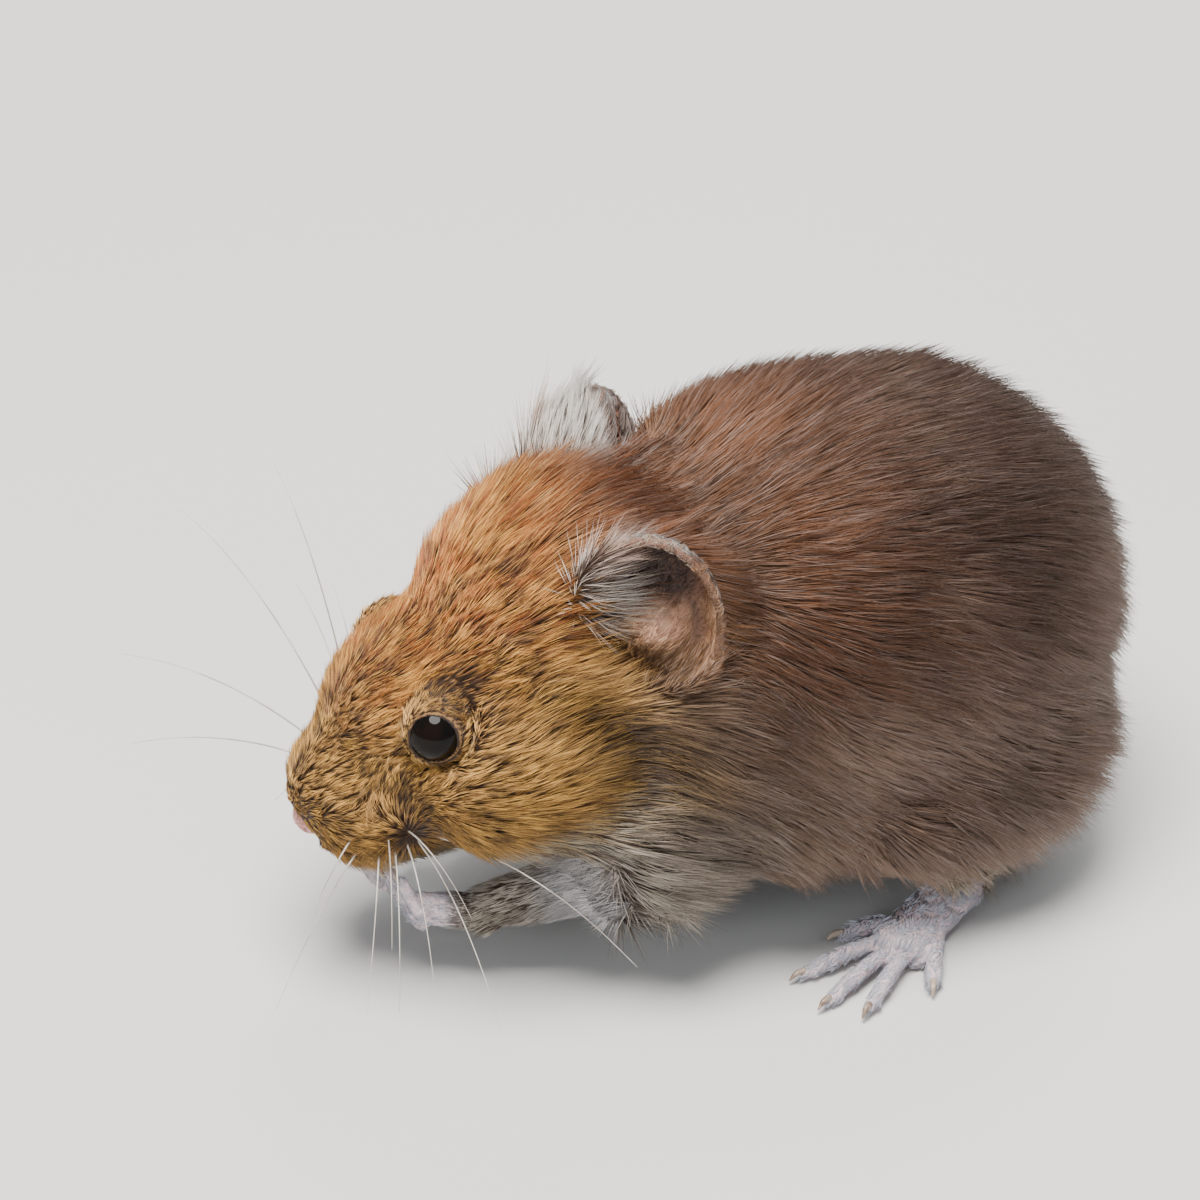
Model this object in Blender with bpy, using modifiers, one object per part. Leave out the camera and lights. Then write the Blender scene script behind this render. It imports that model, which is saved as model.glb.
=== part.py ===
"""A bank vole crouched on its hind feet with both forepaws up at its mouth, life size, in named parts.

The frame is metres, +Z up. The vole sits on the floor at Z 0 and its trunk faces -Y, so that
its left side is at +X.
Its head is turned to its right and dipped, and its tail lies on the floor round its right side.
Every outline is that of the coat, out to the tips of the fur. The shapes are modelled in millimetres.
"""

import math

import bmesh
import bpy
from mathutils import Matrix, Vector

MM = 0.001

# Driving sizes, in millimetres and degrees
GAP = 0.3  # left between two parts that meet
HEAD_TURN = 15.0  # to the vole's right
HEAD_DIP = 27.0  # nose down
NOSE_TIP = (-4.7, -6.1, 9.9)
BACK_HEIGHT = 32.6
TRUNK_HALF_WIDTH = 15.4
EYE_RADIUS = 1.8
EYE_PLACE = (5.75, 10.4, 4.9)  # in the head's frame: to its left, back from the nose tip, up
EAR_PLACE = (9.3, 24.6, 6.4)
EAR_HALF_WIDTH = 4.4
EAR_HALF_HEIGHT = 5.3
EAR_DEPTH = 3.0
EAR_WALL = 0.65
HEEL_PLACES = {"left": (9.6, 32.6), "right": (-8.4, 33.5)}
FOOT_HEADINGS = {"left": 27.0, "right": -14.0}
BODY_VOXEL = 0.8
BODY_TRIANGLES = 2800
FOOT_VOXEL = 0.2
FOOT_TRIANGLES = 480
WELD_REACHES = (0.01, 0.02, 0.005, 0.04, 0.002)
PARTED_SHARE = 0.42  # of the triangles that the cuts leave
PAW_TRIANGLES = 380
LIMB_TRIANGLES = 220

SIDES = {"left": 1, "right": -1}

# Digits, in a foot's own frame: sideways and forward start, splay outward in degrees, length
HIND_TOES = ((-1.35, 6.4, -46.0, 3.6), (-0.95, 8.3, -27.0, 6.2), (-0.1, 8.9, -7.0, 6.6),
             (0.75, 8.5, 8.0, 6.3), (1.35, 6.4, 30.0, 4.6))
FINGERS = ((-1.2, 2.5, -20.0, 2.4), (-0.42, 2.9, -6.0, 2.9), (0.42, 2.9, 7.0, 2.8), (1.2, 2.4, 22.0, 2.2))


def clear_scene():
    for obj in list(bpy.data.objects):
        bpy.data.objects.remove(obj)


def collection(name):
    made = bpy.data.collections.new(name)
    bpy.context.scene.collection.children.link(made)
    return made


def coat_material(name, colour, roughness=0.85):
    made = bpy.data.materials.new(name)
    made.use_nodes = True
    shader = made.node_tree.nodes["Principled BSDF"]
    shader.inputs["Base Color"].default_value = (*colour, 1.0)
    shader.inputs["Roughness"].default_value = roughness
    return made


# Frames


def head_frame():
    """The head's own frame: +X to its left, +Y back from the nose tip, +Z up."""
    turn = Matrix.Rotation(math.radians(-HEAD_TURN), 4, "Z")
    dip = Matrix.Rotation(math.radians(HEAD_DIP), 4, "X")
    return Matrix.Translation(NOSE_TIP) @ turn @ dip


def side_mirror(side):
    return Matrix.Diagonal((SIDES[side], 1.0, 1.0, 1.0))


def ear_frame(side):
    """An ear's frame: +Z out of its cup, +Y up to its tip, +X to its back edge."""
    opening = Vector((0.93, -0.28, 0.25)).normalized()
    tip = Vector((0.12, 0.42, 0.9))
    back = tip.cross(opening).normalized()
    tip = opening.cross(back)
    axes = Matrix((back, tip, opening)).transposed().to_4x4()
    return head_frame() @ side_mirror(side) @ Matrix.Translation(EAR_PLACE) @ axes


def hind_foot_frame(side):
    """A hind foot's frame: the heel at the origin on the floor, +Y to the toes, +X outward."""
    turn = Matrix.Rotation(math.radians(180.0 + FOOT_HEADINGS[side]), 4, "Z")
    outward = Matrix.Diagonal((-SIDES[side], 1.0, 1.0, 1.0))
    return Matrix.Translation((*HEEL_PLACES[side], 0.0)) @ turn @ outward


def forepaw_frame(side):
    """A forepaw's frame, held up at the mouth: the wrist at the origin, +Y to the fingers, +X outward."""
    fingers = Vector((-0.56, -0.82, 0.02))
    back_of_paw = Vector((0.62, -0.5, -0.6))
    outward = fingers.cross(back_of_paw).normalized()
    back_of_paw = outward.cross(fingers).normalized()
    axes = Matrix((outward, fingers.normalized(), back_of_paw)).transposed().to_4x4()
    middle = Matrix.Translation((-3.0, 0.0, 0.0))
    wrist = Matrix.Translation((4.9, 1.6, 4.8))
    return middle @ side_mirror(side) @ wrist @ axes


# Shapes added to a bmesh, in millimetres


def ellipsoid(bm, centre, radii, frame=Matrix(), detail=3, tilt=0.0):
    lean = Matrix.Rotation(math.radians(tilt), 4, "X")
    matrix = frame @ Matrix.Translation(centre) @ lean @ Matrix.Diagonal((*radii, 1.0))
    bmesh.ops.create_icosphere(bm, subdivisions=detail, radius=1.0, matrix=matrix)


def ball(bm, centre, radius, frame=Matrix()):
    ellipsoid(bm, centre, (radius, radius, radius), frame)


def tube(bm, stations, frame=Matrix()):
    """A tapering tube through stations, each a place and a radius."""
    data = bpy.data.curves.new("tube", "CURVE")
    data.dimensions = "3D"
    data.bevel_depth = 1.0
    data.bevel_resolution = 2
    data.resolution_u = 5
    data.use_fill_caps = True
    spline = data.splines.new("BEZIER")
    spline.bezier_points.add(len(stations) - 1)
    for point, (place, radius) in zip(spline.bezier_points, stations):
        point.co = place
        point.radius = radius
        point.handle_left_type = point.handle_right_type = "AUTO"
    guide = bpy.data.objects.new("tube", data)
    bpy.context.scene.collection.objects.link(guide)
    graph = bpy.context.evaluated_depsgraph_get()
    mesh = bpy.data.meshes.new_from_object(guide.evaluated_get(graph))
    bpy.data.objects.remove(guide)
    mesh.transform(frame)
    bm.from_mesh(mesh)
    bpy.data.meshes.remove(mesh)
    bmesh.ops.remove_doubles(bm, verts=bm.verts, dist=1e-4)


# Objects


def place(name, bm, into, frame=Matrix()):
    """Makes bm, in millimetres, an object in metres."""
    mesh = bpy.data.meshes.new(name)
    bmesh.ops.recalc_face_normals(bm, faces=bm.faces)
    bm.to_mesh(mesh)
    bm.free()
    mesh.transform(Matrix.Scale(MM, 4) @ frame)
    if frame.is_negative:
        mesh.flip_normals()
    obj = bpy.data.objects.new(name, mesh)
    into.objects.link(obj)
    return obj


def bake(obj):
    """Makes an object's modifiers real."""
    graph = bpy.context.evaluated_depsgraph_get()
    mesh = bpy.data.meshes.new_from_object(obj.evaluated_get(graph))
    obj.modifiers.clear()
    obj.data = mesh


def fuse(obj, voxel, smoothing, triangles):
    """Melts an object's overlapping shapes into one smooth closed body of about so many triangles."""
    melt = obj.modifiers.new("melt", "REMESH")
    melt.mode = "VOXEL"
    melt.voxel_size = voxel * MM
    soften = obj.modifiers.new("soften", "SMOOTH")
    soften.factor = 0.5
    soften.iterations = smoothing
    bake(obj)
    thin = obj.modifiers.new("thin", "DECIMATE")
    thin.ratio = min(1.0, triangles / (2 * len(obj.data.polygons)))
    bake(obj)
    return obj


def boolean(obj, other, operation):
    step = obj.modifiers.new(operation.lower(), "BOOLEAN")
    step.operation = operation
    step.object = other
    step.solver = "EXACT"
    bake(obj)


def is_closed(mesh):
    bm = bmesh.new()
    bm.from_mesh(mesh)
    closed = all(len(edge.link_faces) == 2 for edge in bm.edges)
    bm.free()
    return closed


def thin_out(obj):
    """Merges away the needle-thin triangles that the cuts leave, as far as the body stays closed."""
    cut = obj.data
    for reach in WELD_REACHES:
        obj.data = cut.copy()
        weld = obj.modifiers.new("weld", "WELD")
        weld.merge_threshold = reach * MM
        bake(obj)
        thin = obj.modifiers.new("thin", "DECIMATE")
        thin.ratio = PARTED_SHARE
        bake(obj)
        if is_closed(obj.data):
            return
    obj.data = cut


# Cutters, each made grown by a margin


def eye_shape(side, into, grow=0.0):
    bm = bmesh.new()
    ball(bm, EYE_PLACE, EYE_RADIUS + grow, head_frame() @ side_mirror(side))
    return place("eye_cutter", bm, into)


def nose_shape(into, grow=0.0):
    bm = bmesh.new()
    ellipsoid(bm, (0, 1.15, 0.1), (1.35 + grow, 1.2 + grow, 1.05 + grow), head_frame())
    return place("nose_cutter", bm, into)


def ear_plug(side, into, grow=0.0):
    """The whole volume of an ear with its cup filled."""
    bm = bmesh.new()
    radii = (EAR_HALF_WIDTH + grow, EAR_HALF_HEIGHT + grow, EAR_DEPTH + grow)
    ellipsoid(bm, (0, 0, 0), radii)
    bmesh.ops.bisect_plane(bm, geom=bm.verts[:] + bm.edges[:] + bm.faces[:], plane_co=(0, 0, 1.2 * grow),
                           plane_no=(0, 0, 1), clear_outer=True)
    bmesh.ops.holes_fill(bm, edges=bm.edges, sides=0)
    return place("ear_plug", bm, into, ear_frame(side))


def ear_shape(side, into):
    """A thin cup: half an ellipsoid with a wall."""
    bm = bmesh.new()
    ellipsoid(bm, (0, 0, 0), (EAR_HALF_WIDTH, EAR_HALF_HEIGHT, EAR_DEPTH))
    bmesh.ops.bisect_plane(bm, geom=bm.verts[:] + bm.edges[:] + bm.faces[:], plane_co=(0, 0, 0),
                           plane_no=(0, 0, 1), clear_outer=True)
    obj = place("ear", bm, into, ear_frame(side))
    wall = obj.modifiers.new("wall", "SOLIDIFY")
    wall.thickness = EAR_WALL * MM
    wall.offset = -1.0
    bake(obj)
    return obj


def region(centre, radii, into, grow=0.0, frame=Matrix(), tilt=0.0):
    """An ellipsoid that says how far a part goes."""
    bm = bmesh.new()
    ellipsoid(bm, centre, [radius + grow for radius in radii], frame, detail=3, tilt=tilt)
    return place("region", bm, into)


def behind(point, normal, into, shift=0.0, size=120.0):
    """A big block that fills all that lies behind the plane through point."""
    facing = Vector(normal).normalized()
    bm = bmesh.new()
    turn = facing.to_track_quat("Z", "Y").to_matrix().to_4x4()
    centre = Vector(point) + facing * (shift - size / 2)
    bmesh.ops.create_cube(bm, size=size, matrix=Matrix.Translation(centre) @ turn)
    return place("block", bm, into)


def head_region(into, grow=0.0):
    """The face and jaw, and the crown with the ears behind them."""
    face = region((0, 9.3, 1.2), (12.5, 14.6, 10.8), into, grow, head_frame())
    crown = region((0, 18.2, 7.0), (14.0, 11.4, 9.0), into, grow, head_frame())
    boolean(face, crown, "UNION")
    return face


def upper_arm_region(side, into, grow=0.0):
    return region((10.6, 14.4, 12.2), (6.4, 6.9, 8.4), into, grow, side_mirror(side), tilt=-18.0)


def thigh_region(side, into, grow=0.0):
    return region((13.6, 34.0, 11.2), (7.8, 11.8, 10.6), into, grow, side_mirror(side), tilt=12.0)


# The body: overlapping muscles and masses of fur that melt into one outline


def add_trunk(bm):
    width = TRUNK_HALF_WIDTH
    ellipsoid(bm, (-0.2, 26.6, BACK_HEIGHT - 15.0), (width, 17.5, 15.0))
    ellipsoid(bm, (0, 31.2, BACK_HEIGHT - 15.9), (width + 0.2, 15.6, 15.2))
    ellipsoid(bm, (0, 33.2, 12.9), (width + 0.1, 12.0, 10.2))
    ellipsoid(bm, (0.2, 23.6, 10.8), (width - 1.2, 15.6, 8.0))
    ellipsoid(bm, (-0.4, 16.5, 14.6), (12.6, 10.2, 10.8))
    for side in SIDES:
        mirror = side_mirror(side)
        ellipsoid(bm, (8.6, 32.5, 9.8), (7.6, 11.8, 7.6), mirror)  # haunch
        ellipsoid(bm, (6.4, 11.8, 9.9), (5.2, 6.2, 5.6), mirror)  # shoulder and elbow


def add_neck(bm):
    ellipsoid(bm, (-0.2, 13.4, 20.4), (11.0, 8.6, 10.6), tilt=24.0)


def add_head(bm):
    frame = head_frame()
    ellipsoid(bm, (0, 19.6, 4.9), (8.8, 8.8, 8.6), frame)  # crown
    ellipsoid(bm, (0, 12.2, 3.5), (6.5, 8.6, 5.9), frame, tilt=6.0)  # forehead
    ellipsoid(bm, (0, 5.6, 0.9), (4.3, 5.8, 4.0), frame, tilt=4.0)  # muzzle
    ellipsoid(bm, (0, 8.9, -2.9), (4.2, 6.2, 3.6), frame)  # chin and lower jaw
    for side in SIDES:
        cheek_side = frame @ side_mirror(side)
        ellipsoid(bm, (2.4, 4.5, -0.7), (2.7, 3.7, 3.1), cheek_side)  # whisker pad
        ellipsoid(bm, (4.7, 14.2, -0.6), (5.3, 7.4, 6.5), cheek_side)  # cheek


def whole_body(into):
    bm = bmesh.new()
    add_trunk(bm)
    add_neck(bm)
    add_head(bm)
    return fuse(place("whole_body", bm, into), BODY_VOXEL, 6, BODY_TRIANGLES)


# Feet and limbs


def add_digit(bm, frame, start, splay, length, thickness, height, claw):
    """One digit with its claw: an arched tube that comes down to the claw's tip."""
    angle = math.radians(splay)
    along = Vector((math.sin(angle), math.cos(angle), 0.0))
    base = Vector((*start, height))
    reach = ((0.0, 0.0, 1.0), (0.34, 0.25, 0.92), (0.68, -0.15, 0.86), (0.86, -0.4, 0.6), (1.0, -0.75, 0.42))
    stations = []
    for part, lift, girth in reach:
        point = base + along * part * (length + claw)
        point.z += lift * height * 0.8
        stations.append((point, thickness * girth))
    tube(bm, stations, frame)


def hind_foot_shape(side, into, grow=0.0):
    frame = hind_foot_frame(side)
    bm = bmesh.new()
    stations = (((0, 0.4, 1.7), 1.3), ((0, 3.2, 1.55), 1.35), ((0, 6.4, 1.35), 1.3), ((0, 8.4, 1.15), 1.1))
    tube(bm, [(spot, girth + grow) for spot, girth in stations], frame)
    for sideways in (-0.75, 0.75):
        stations = (((sideways, 2.0, 1.4), 1.0), ((1.2 * sideways, 8.4, 1.15), 1.0))
        tube(bm, [(spot, girth + grow) for spot, girth in stations], frame)
    for sideways, forward, splay, length in HIND_TOES:
        add_digit(bm, frame, (sideways, forward), splay, length, 0.66 + grow, 0.85, 0.6)
    for sideways, forward in ((-1.3, 8.6), (0.0, 9.4), (1.2, 8.4), (-0.6, 4.8), (0.0, 1.0)):
        pad = 0.75 + grow
        ellipsoid(bm, (sideways, forward, 0.5), (pad, pad, 0.85 + grow), frame, detail=2)
    foot = fuse(place("hind_foot", bm, into), FOOT_VOXEL, 2, FOOT_TRIANGLES)
    if not grow:
        boolean(foot, behind((0, 0, 0), (0, 0, -1), into), "INTERSECT")
    return foot


def forepaw_shape(side, into, grow=0.0):
    frame = forepaw_frame(side)
    bm = bmesh.new()
    tube(bm, (((0, -0.6, 0), 1.15 + grow), ((0, 1.2, 0), 1.2 + grow), ((0, 2.8, 0), 1.0 + grow)), frame)
    for sideways in (-0.8, 0.8):
        tube(bm, (((0.6 * sideways, 0.3, 0), 0.8 + grow), ((sideways, 2.8, 0), 0.85 + grow)), frame)
    curl = Matrix.Translation((0, 2.8, 0)) @ Matrix.Rotation(math.radians(-30.0), 4, "X")
    curled = frame @ curl @ Matrix.Translation((0, -2.8, 0))
    for sideways, forward, splay, length in FINGERS:
        add_digit(bm, curled, (sideways, forward), splay, length, 0.62 + grow, 0.3, 0.4)
    return fuse(place("forepaw", bm, into), FOOT_VOXEL, 2, PAW_TRIANGLES)


def forearm_shape(side, into, grow=0.0):
    bm = bmesh.new()
    wrist = forepaw_frame(side).translation
    elbow = side_mirror(side) @ Vector((6.6, 10.4, 8.2))
    middle = wrist.lerp(elbow, 0.55) + Vector((0, 0, -0.3))
    tube(bm, ((wrist, 1.1 + grow), (middle, 1.75 + grow), (elbow, 2.4 + grow)))
    ball(bm, elbow, 2.4 + grow)
    return fuse(place("forearm", bm, into), FOOT_VOXEL * 2, 2, LIMB_TRIANGLES)


def shank_shape(side, into, grow=0.0):
    bm = bmesh.new()
    ankle = hind_foot_frame(side) @ Vector((0, 0.2, 2.4))
    knee = side_mirror(side) @ Vector((10.2, 25.6, 9.4))
    middle = ankle.lerp(knee, 0.5) + Vector((0, 0.8, 0.2))
    tube(bm, ((ankle, 1.3 + grow), (middle, 2.3 + grow), (knee, 2.9 + grow)))
    ball(bm, ankle, 1.3 + grow)
    ball(bm, knee, 2.9 + grow)
    return fuse(place("shank", bm, into), FOOT_VOXEL * 2, 2, LIMB_TRIANGLES)


# The tail lies on the floor: it comes down from the rump and runs forward round the right side

TAIL_ROUTE = (
    (-1.0, 41.0, 9.0, 1.6), (-3.4, 46.4, 4.5, 1.55), (-9.0, 47.4, 1.5, 1.45), (-15.2, 43.8, 1.3, 1.35),
    (-19.4, 36.0, 1.15, 1.22), (-20.6, 27.0, 1.0, 1.05), (-19.2, 18.4, 0.8, 0.86), (-16.4, 11.8, 0.56, 0.62),
)
TAIL_NAMES = ("tail_base", "tail_middle", "tail_tip")
TAIL_CUTS = (((-12.2, 46.2, 1.5), (-0.85, -0.53, 0.0)), ((-20.4, 29.0, 1.2), (-0.1, -0.99, 0.0)))


def tail_shape(into, grow=0.0):
    bm = bmesh.new()
    tube(bm, [(spot[:3], spot[3] + grow) for spot in TAIL_ROUTE])
    ball(bm, TAIL_ROUTE[0][:3], TAIL_ROUTE[0][3] + grow)
    tail = fuse(place("tail", bm, into), 0.34, 2, 560)
    if not grow:
        boolean(tail, behind((0, 0, 0), (0, 0, -1), into), "INTERSECT")
    return tail


# Parting


def part(name, source, material, into, cuts=(), thinned=True):
    """Makes one named part of source, with (operation, cutter) cuts."""
    obj = bpy.data.objects.new(name, source.data.copy())
    into.objects.link(obj)
    for operation, cutter in cuts:
        boolean(obj, cutter, operation)
    if cuts and thinned:
        thin_out(obj)
    obj.data.materials.clear()
    obj.data.materials.append(material)
    obj.data.shade_smooth()
    return obj


def both(make, into, **settings):
    return [make(side, into, **settings) for side in SIDES]


def without(cutters):
    return [("DIFFERENCE", cutter) for cutter in cutters]


def slab(front, back, into):
    """The cuts that keep what lies between two planes, half a gap clear of each."""
    cuts = []
    if front:
        point, normal = front
        cuts.append(("DIFFERENCE", behind(point, normal, into, shift=GAP / 2)))
    if back:
        point, normal = back
        cuts.append(("INTERSECT", behind(point, normal, into, shift=-GAP / 2)))
    return cuts


def make_head(whole, coat, pink, black, skin, parts, helpers):
    cuts = [("INTERSECT", head_region(helpers)), *without([nose_shape(helpers, grow=GAP)])]
    cuts += without(both(eye_shape, helpers, grow=GAP) + both(ear_plug, helpers, grow=GAP))
    cuts += without(both(forepaw_shape, helpers, grow=GAP) + both(forearm_shape, helpers, grow=GAP))
    part("head", whole, coat, parts, cuts)
    part("nose", nose_shape(helpers), pink, parts)
    for side in SIDES:
        part("eye_" + side, eye_shape(side, helpers), black, parts)
        part("ear_" + side, ear_shape(side, helpers), skin, parts)


def make_limbs(whole, coat, pale, skin, parts, helpers):
    head = head_region(helpers, grow=GAP)
    for side in SIDES:
        paw = forepaw_shape(side, helpers)
        foot = hind_foot_shape(side, helpers)
        part("forepaw_" + side, paw, skin, parts)
        part("hind_foot_" + side, foot, skin, parts)
        part("forearm_" + side, forearm_shape(side, helpers), pale, parts,
             without([forepaw_shape(side, helpers, grow=GAP)]), thinned=False)
        part("shank_" + side, shank_shape(side, helpers), coat, parts,
             without([hind_foot_shape(side, helpers, grow=GAP)]), thinned=False)
        part("upper_arm_" + side, whole, coat, parts,
             [("INTERSECT", upper_arm_region(side, helpers))]
             + without([head, forearm_shape(side, helpers, grow=GAP)]))
        part("thigh_" + side, whole, coat, parts,
             [("INTERSECT", thigh_region(side, helpers))]
             + without([shank_shape(side, helpers, grow=GAP), hind_foot_shape(side, helpers, grow=GAP)]))


def make_trunk(whole, coat, parts, helpers):
    neck_plane = ((0, 19.5, 20.0), (0, 0.94, -0.34))
    rib_plane = ((0, 26.5, 17.0), (0, 1.0, 0.0))
    hip_plane = ((0, 35.0, 17.0), (0, 1.0, 0.0))
    ears = both(ear_plug, helpers, grow=GAP)
    arms = both(upper_arm_region, helpers, grow=GAP) + both(forearm_shape, helpers, grow=GAP)
    legs = both(thigh_region, helpers, grow=GAP) + both(shank_shape, helpers, grow=GAP)
    head = [head_region(helpers, grow=GAP)]
    feet = both(hind_foot_shape, helpers, grow=GAP)
    tail = [tail_shape(helpers, grow=GAP)]
    part("neck", whole, coat, parts, slab(None, neck_plane, helpers) + without(head + ears + arms))
    part("chest", whole, coat, parts, slab(neck_plane, rib_plane, helpers) + without(head + arms + legs))
    part("belly", whole, coat, parts, slab(rib_plane, hip_plane, helpers) + without(arms + legs + feet))
    part("rump", whole, coat, parts, slab(hip_plane, None, helpers) + without(legs + feet + tail))


def make_tail(skin, parts, helpers):
    tail = tail_shape(helpers)
    ends = (None, *TAIL_CUTS, None)
    for name, front, back in zip(TAIL_NAMES, ends, ends[1:]):
        part(name, tail, skin, parts, slab(front, back, helpers), thinned=False)


def centre_over_origin(objects):
    """Moves all the parts sideways so that the middle of their outline stands over the origin."""
    points = [vertex.co for obj in objects for vertex in obj.data.vertices]
    lows = [min(point[axis] for point in points) for axis in (0, 1)]
    highs = [max(point[axis] for point in points) for axis in (0, 1)]
    middle = [(low + high) / 2 for low, high in zip(lows, highs)]
    for obj in objects:
        obj.data.transform(Matrix.Translation((-middle[0], -middle[1], 0.0)))


def main():
    clear_scene()
    parts = collection("bank_vole")
    helpers = collection("cutters")
    coat = coat_material("brown_fur", (0.18, 0.085, 0.04))
    pale = coat_material("pale_fur", (0.42, 0.36, 0.28))
    skin = coat_material("bare_skin", (0.46, 0.33, 0.29), roughness=0.55)
    pink = coat_material("pink_nose", (0.5, 0.24, 0.21), roughness=0.4)
    black = coat_material("black_eye", (0.006, 0.005, 0.005), roughness=0.06)
    whole = whole_body(helpers)
    make_head(whole, coat, pink, black, skin, parts, helpers)
    make_limbs(whole, coat, pale, skin, parts, helpers)
    make_trunk(whole, coat, parts, helpers)
    make_tail(skin, parts, helpers)
    centre_over_origin(parts.objects)
    for helper in helpers.objects:
        helper.hide_render = True
        helper.display_type = "WIRE"


main()
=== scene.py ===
"""A bank vole as a museum model: one skin, a coat of tufts, eyes, nose, whiskers and claws over the solids.

Distances are in millimetres, apart from those of the stage, and MM turns them into metres.
"""

from math import copysign, cos, exp, pi, radians, sin, sqrt

import bmesh
import bpy
import numpy as np
from mathutils import Matrix, Vector
from mathutils.bvhtree import BVHTree


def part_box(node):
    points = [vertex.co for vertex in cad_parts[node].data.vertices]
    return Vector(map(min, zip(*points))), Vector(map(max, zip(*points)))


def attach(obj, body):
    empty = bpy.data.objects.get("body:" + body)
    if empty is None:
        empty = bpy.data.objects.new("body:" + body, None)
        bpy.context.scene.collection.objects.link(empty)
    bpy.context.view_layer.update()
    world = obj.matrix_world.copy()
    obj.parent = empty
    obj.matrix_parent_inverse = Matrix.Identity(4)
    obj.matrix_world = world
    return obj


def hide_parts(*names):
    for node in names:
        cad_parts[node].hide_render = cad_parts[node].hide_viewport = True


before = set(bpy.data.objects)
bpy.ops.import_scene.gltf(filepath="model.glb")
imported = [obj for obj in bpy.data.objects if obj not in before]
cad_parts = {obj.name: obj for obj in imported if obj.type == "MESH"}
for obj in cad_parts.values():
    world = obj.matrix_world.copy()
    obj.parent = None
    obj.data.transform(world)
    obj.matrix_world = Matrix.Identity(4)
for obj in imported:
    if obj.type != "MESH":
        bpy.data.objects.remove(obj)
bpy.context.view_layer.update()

MM = 0.001
SIDES = {"left": 1, "right": -1}
FLESH = ("head", "neck", "chest", "belly", "rump", "upper_arm_left", "upper_arm_right", "thigh_left",
         "thigh_right")
LIMBS = ("forearm_left", "forearm_right", "shank_left", "shank_right", "tail_base", "tail_middle", "tail_tip")
FEET = ("forepaw_left", "forepaw_right", "hind_foot_left", "hind_foot_right")
EARS = ("ear_left", "ear_right")

# Sizes the solids share with the skin, in the head's frame: to its left, back from the nose tip, up
EYE_BACK = 10.4
EYE_UP = 4.9
EYE_RADIUS = 1.8
EYE_AXIS = Vector((0.93, -0.22, 0.30)).normalized()
NOSE_BACK = 1.15
NOSE_UP = 0.1
EAR_PLACE = (9.3, 24.6, 6.4)
EAR_HALF_WIDTH = 4.4
EAR_HALF_HEIGHT = 5.3
EAR_DEPTH = 3.0
# Where each heel stands in the body's frame, and which way the foot turns out
HEEL_HEADINGS = {"left": 27.0, "right": -14.0}
HEEL_PLACES = {"left": (9.6, 32.6), "right": (-8.4, 33.5)}
# Each digit's root, to the outside and forward of the foot's origin, its splay in degrees and its length
FINGERS = ((-1.25, 2.3, -26.0, 2.6), (-0.45, 2.9, -9.0, 3.1), (0.45, 2.9, 9.0, 3.0), (1.25, 2.2, 28.0, 2.4))
HIND_TOES = ((-1.35, 6.4, -46.0, 3.6), (-0.95, 8.3, -27.0, 6.2), (-0.1, 8.9, -7.0, 6.6),
             (0.75, 8.5, 8.0, 6.3), (1.35, 6.4, 30.0, 4.6))
# How high a foot's digits start and arch, and how thick its digits and claws are
HIND_DIGITS = (0.85, 0.72, 0.58, 0.24)
FORE_DIGITS = (0.3, 0.3, 0.43, 0.18)
FINGER_CURL = -48.0
FINGER_ROOT = 2.8
# Where the forepaws meet, and each wrist from there, in the body's frame
PAWS_ACROSS = -3.0
WRIST_PLACE = (4.9, 1.6, 4.8)
WHISKER_RADIUS = 0.068
# Each whisker's root and end in the head's frame
WHISKERS = (
    ((4.2, 2.4, -0.9), (10.1, -6.3, -3.6)), ((4.4, 3.6, -1.4), (11.0, -1.8, -6.6)),
    ((4.3, 4.4, -2.0), (11.2, -0.2, -7.7)), ((4.3, 5.2, -2.0), (11.2, 2.5, -7.1)),
    ((4.3, 5.8, -2.3), (14.2, 4.6, -10.4)), ((4.3, 6.6, -2.4), (14.9, 13.5, -10.8)),
    ((4.4, 4.6, -0.6), (9.4, 1.4, -4.6)), ((4.4, 5.6, -1.0), (9.8, 6.4, -5.4)),
    ((4.1, 2.8, 0.2), (7.6, -2.6, -1.6)),
    ((-4.3, 4.5, 0.6), (-16.7, 2.9, 12.6)), ((-4.5, 5.5, 0.6), (-17.1, 9.2, 12.5)),
    ((-4.5, 6.2, 0.9), (-11.8, 8.5, 5.6)), ((-4.2, 3.4, 0.4), (-13.0, -4.6, 8.2)),
    ((-4.1, 2.8, -0.2), (-10.1, -6.9, 4.2)), ((-4.5, 5.0, -0.4), (-14.8, 6.4, 4.8)),
    ((-4.4, 3.6, -1.4), (-11.0, -1.8, -5.6)), ((-4.3, 4.4, -2.0), (-12.6, 1.8, -6.4)),
    ((-4.3, 5.8, -2.0), (-14.0, 6.0, -6.0)), ((-4.3, 6.6, -2.2), (-12.8, 12.0, -5.8)),
)
HEAD_TURN = 15.0
HEAD_DIP = 27.0
NOSE_TIP = (-4.7, -6.1, 9.9)

# The skin: how far the solids swell to close the cuts between them, and how finely they melt into one
FLESH_GROWTH = 0.32
FLESH_VOXEL = 0.42
LIMB_GROWTH = 0.1
LIMB_VOXEL = 0.3
SKIN_VOXEL = 0.17
SKIN_TRIANGLES = 165000
SKIN_RELIEF = 0.15
# The lids: rings round the eye's axis that hug the eyeball, and the radius of their bare edge
LID_RINGS = (1.42, 1.6, 1.71)
LID_OUT = 1.74
LID_GIRTH = 0.21
LID_BARE = 1.56
RING_STEPS = 24
# How far outside a solid's box its skin may lie
BOX_MARGIN = 0.25

# The coat: the triangles to spend, and tufts that are three-sided cones of so many steps
COAT_TRIANGLES = 1480000
PIECE_TRIANGLES = 185000
TUFT_STEPS = 1
TUFT_TRIANGLES = 6 * TUFT_STEPS - 2
TUFT_PATCH = 0.003
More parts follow.
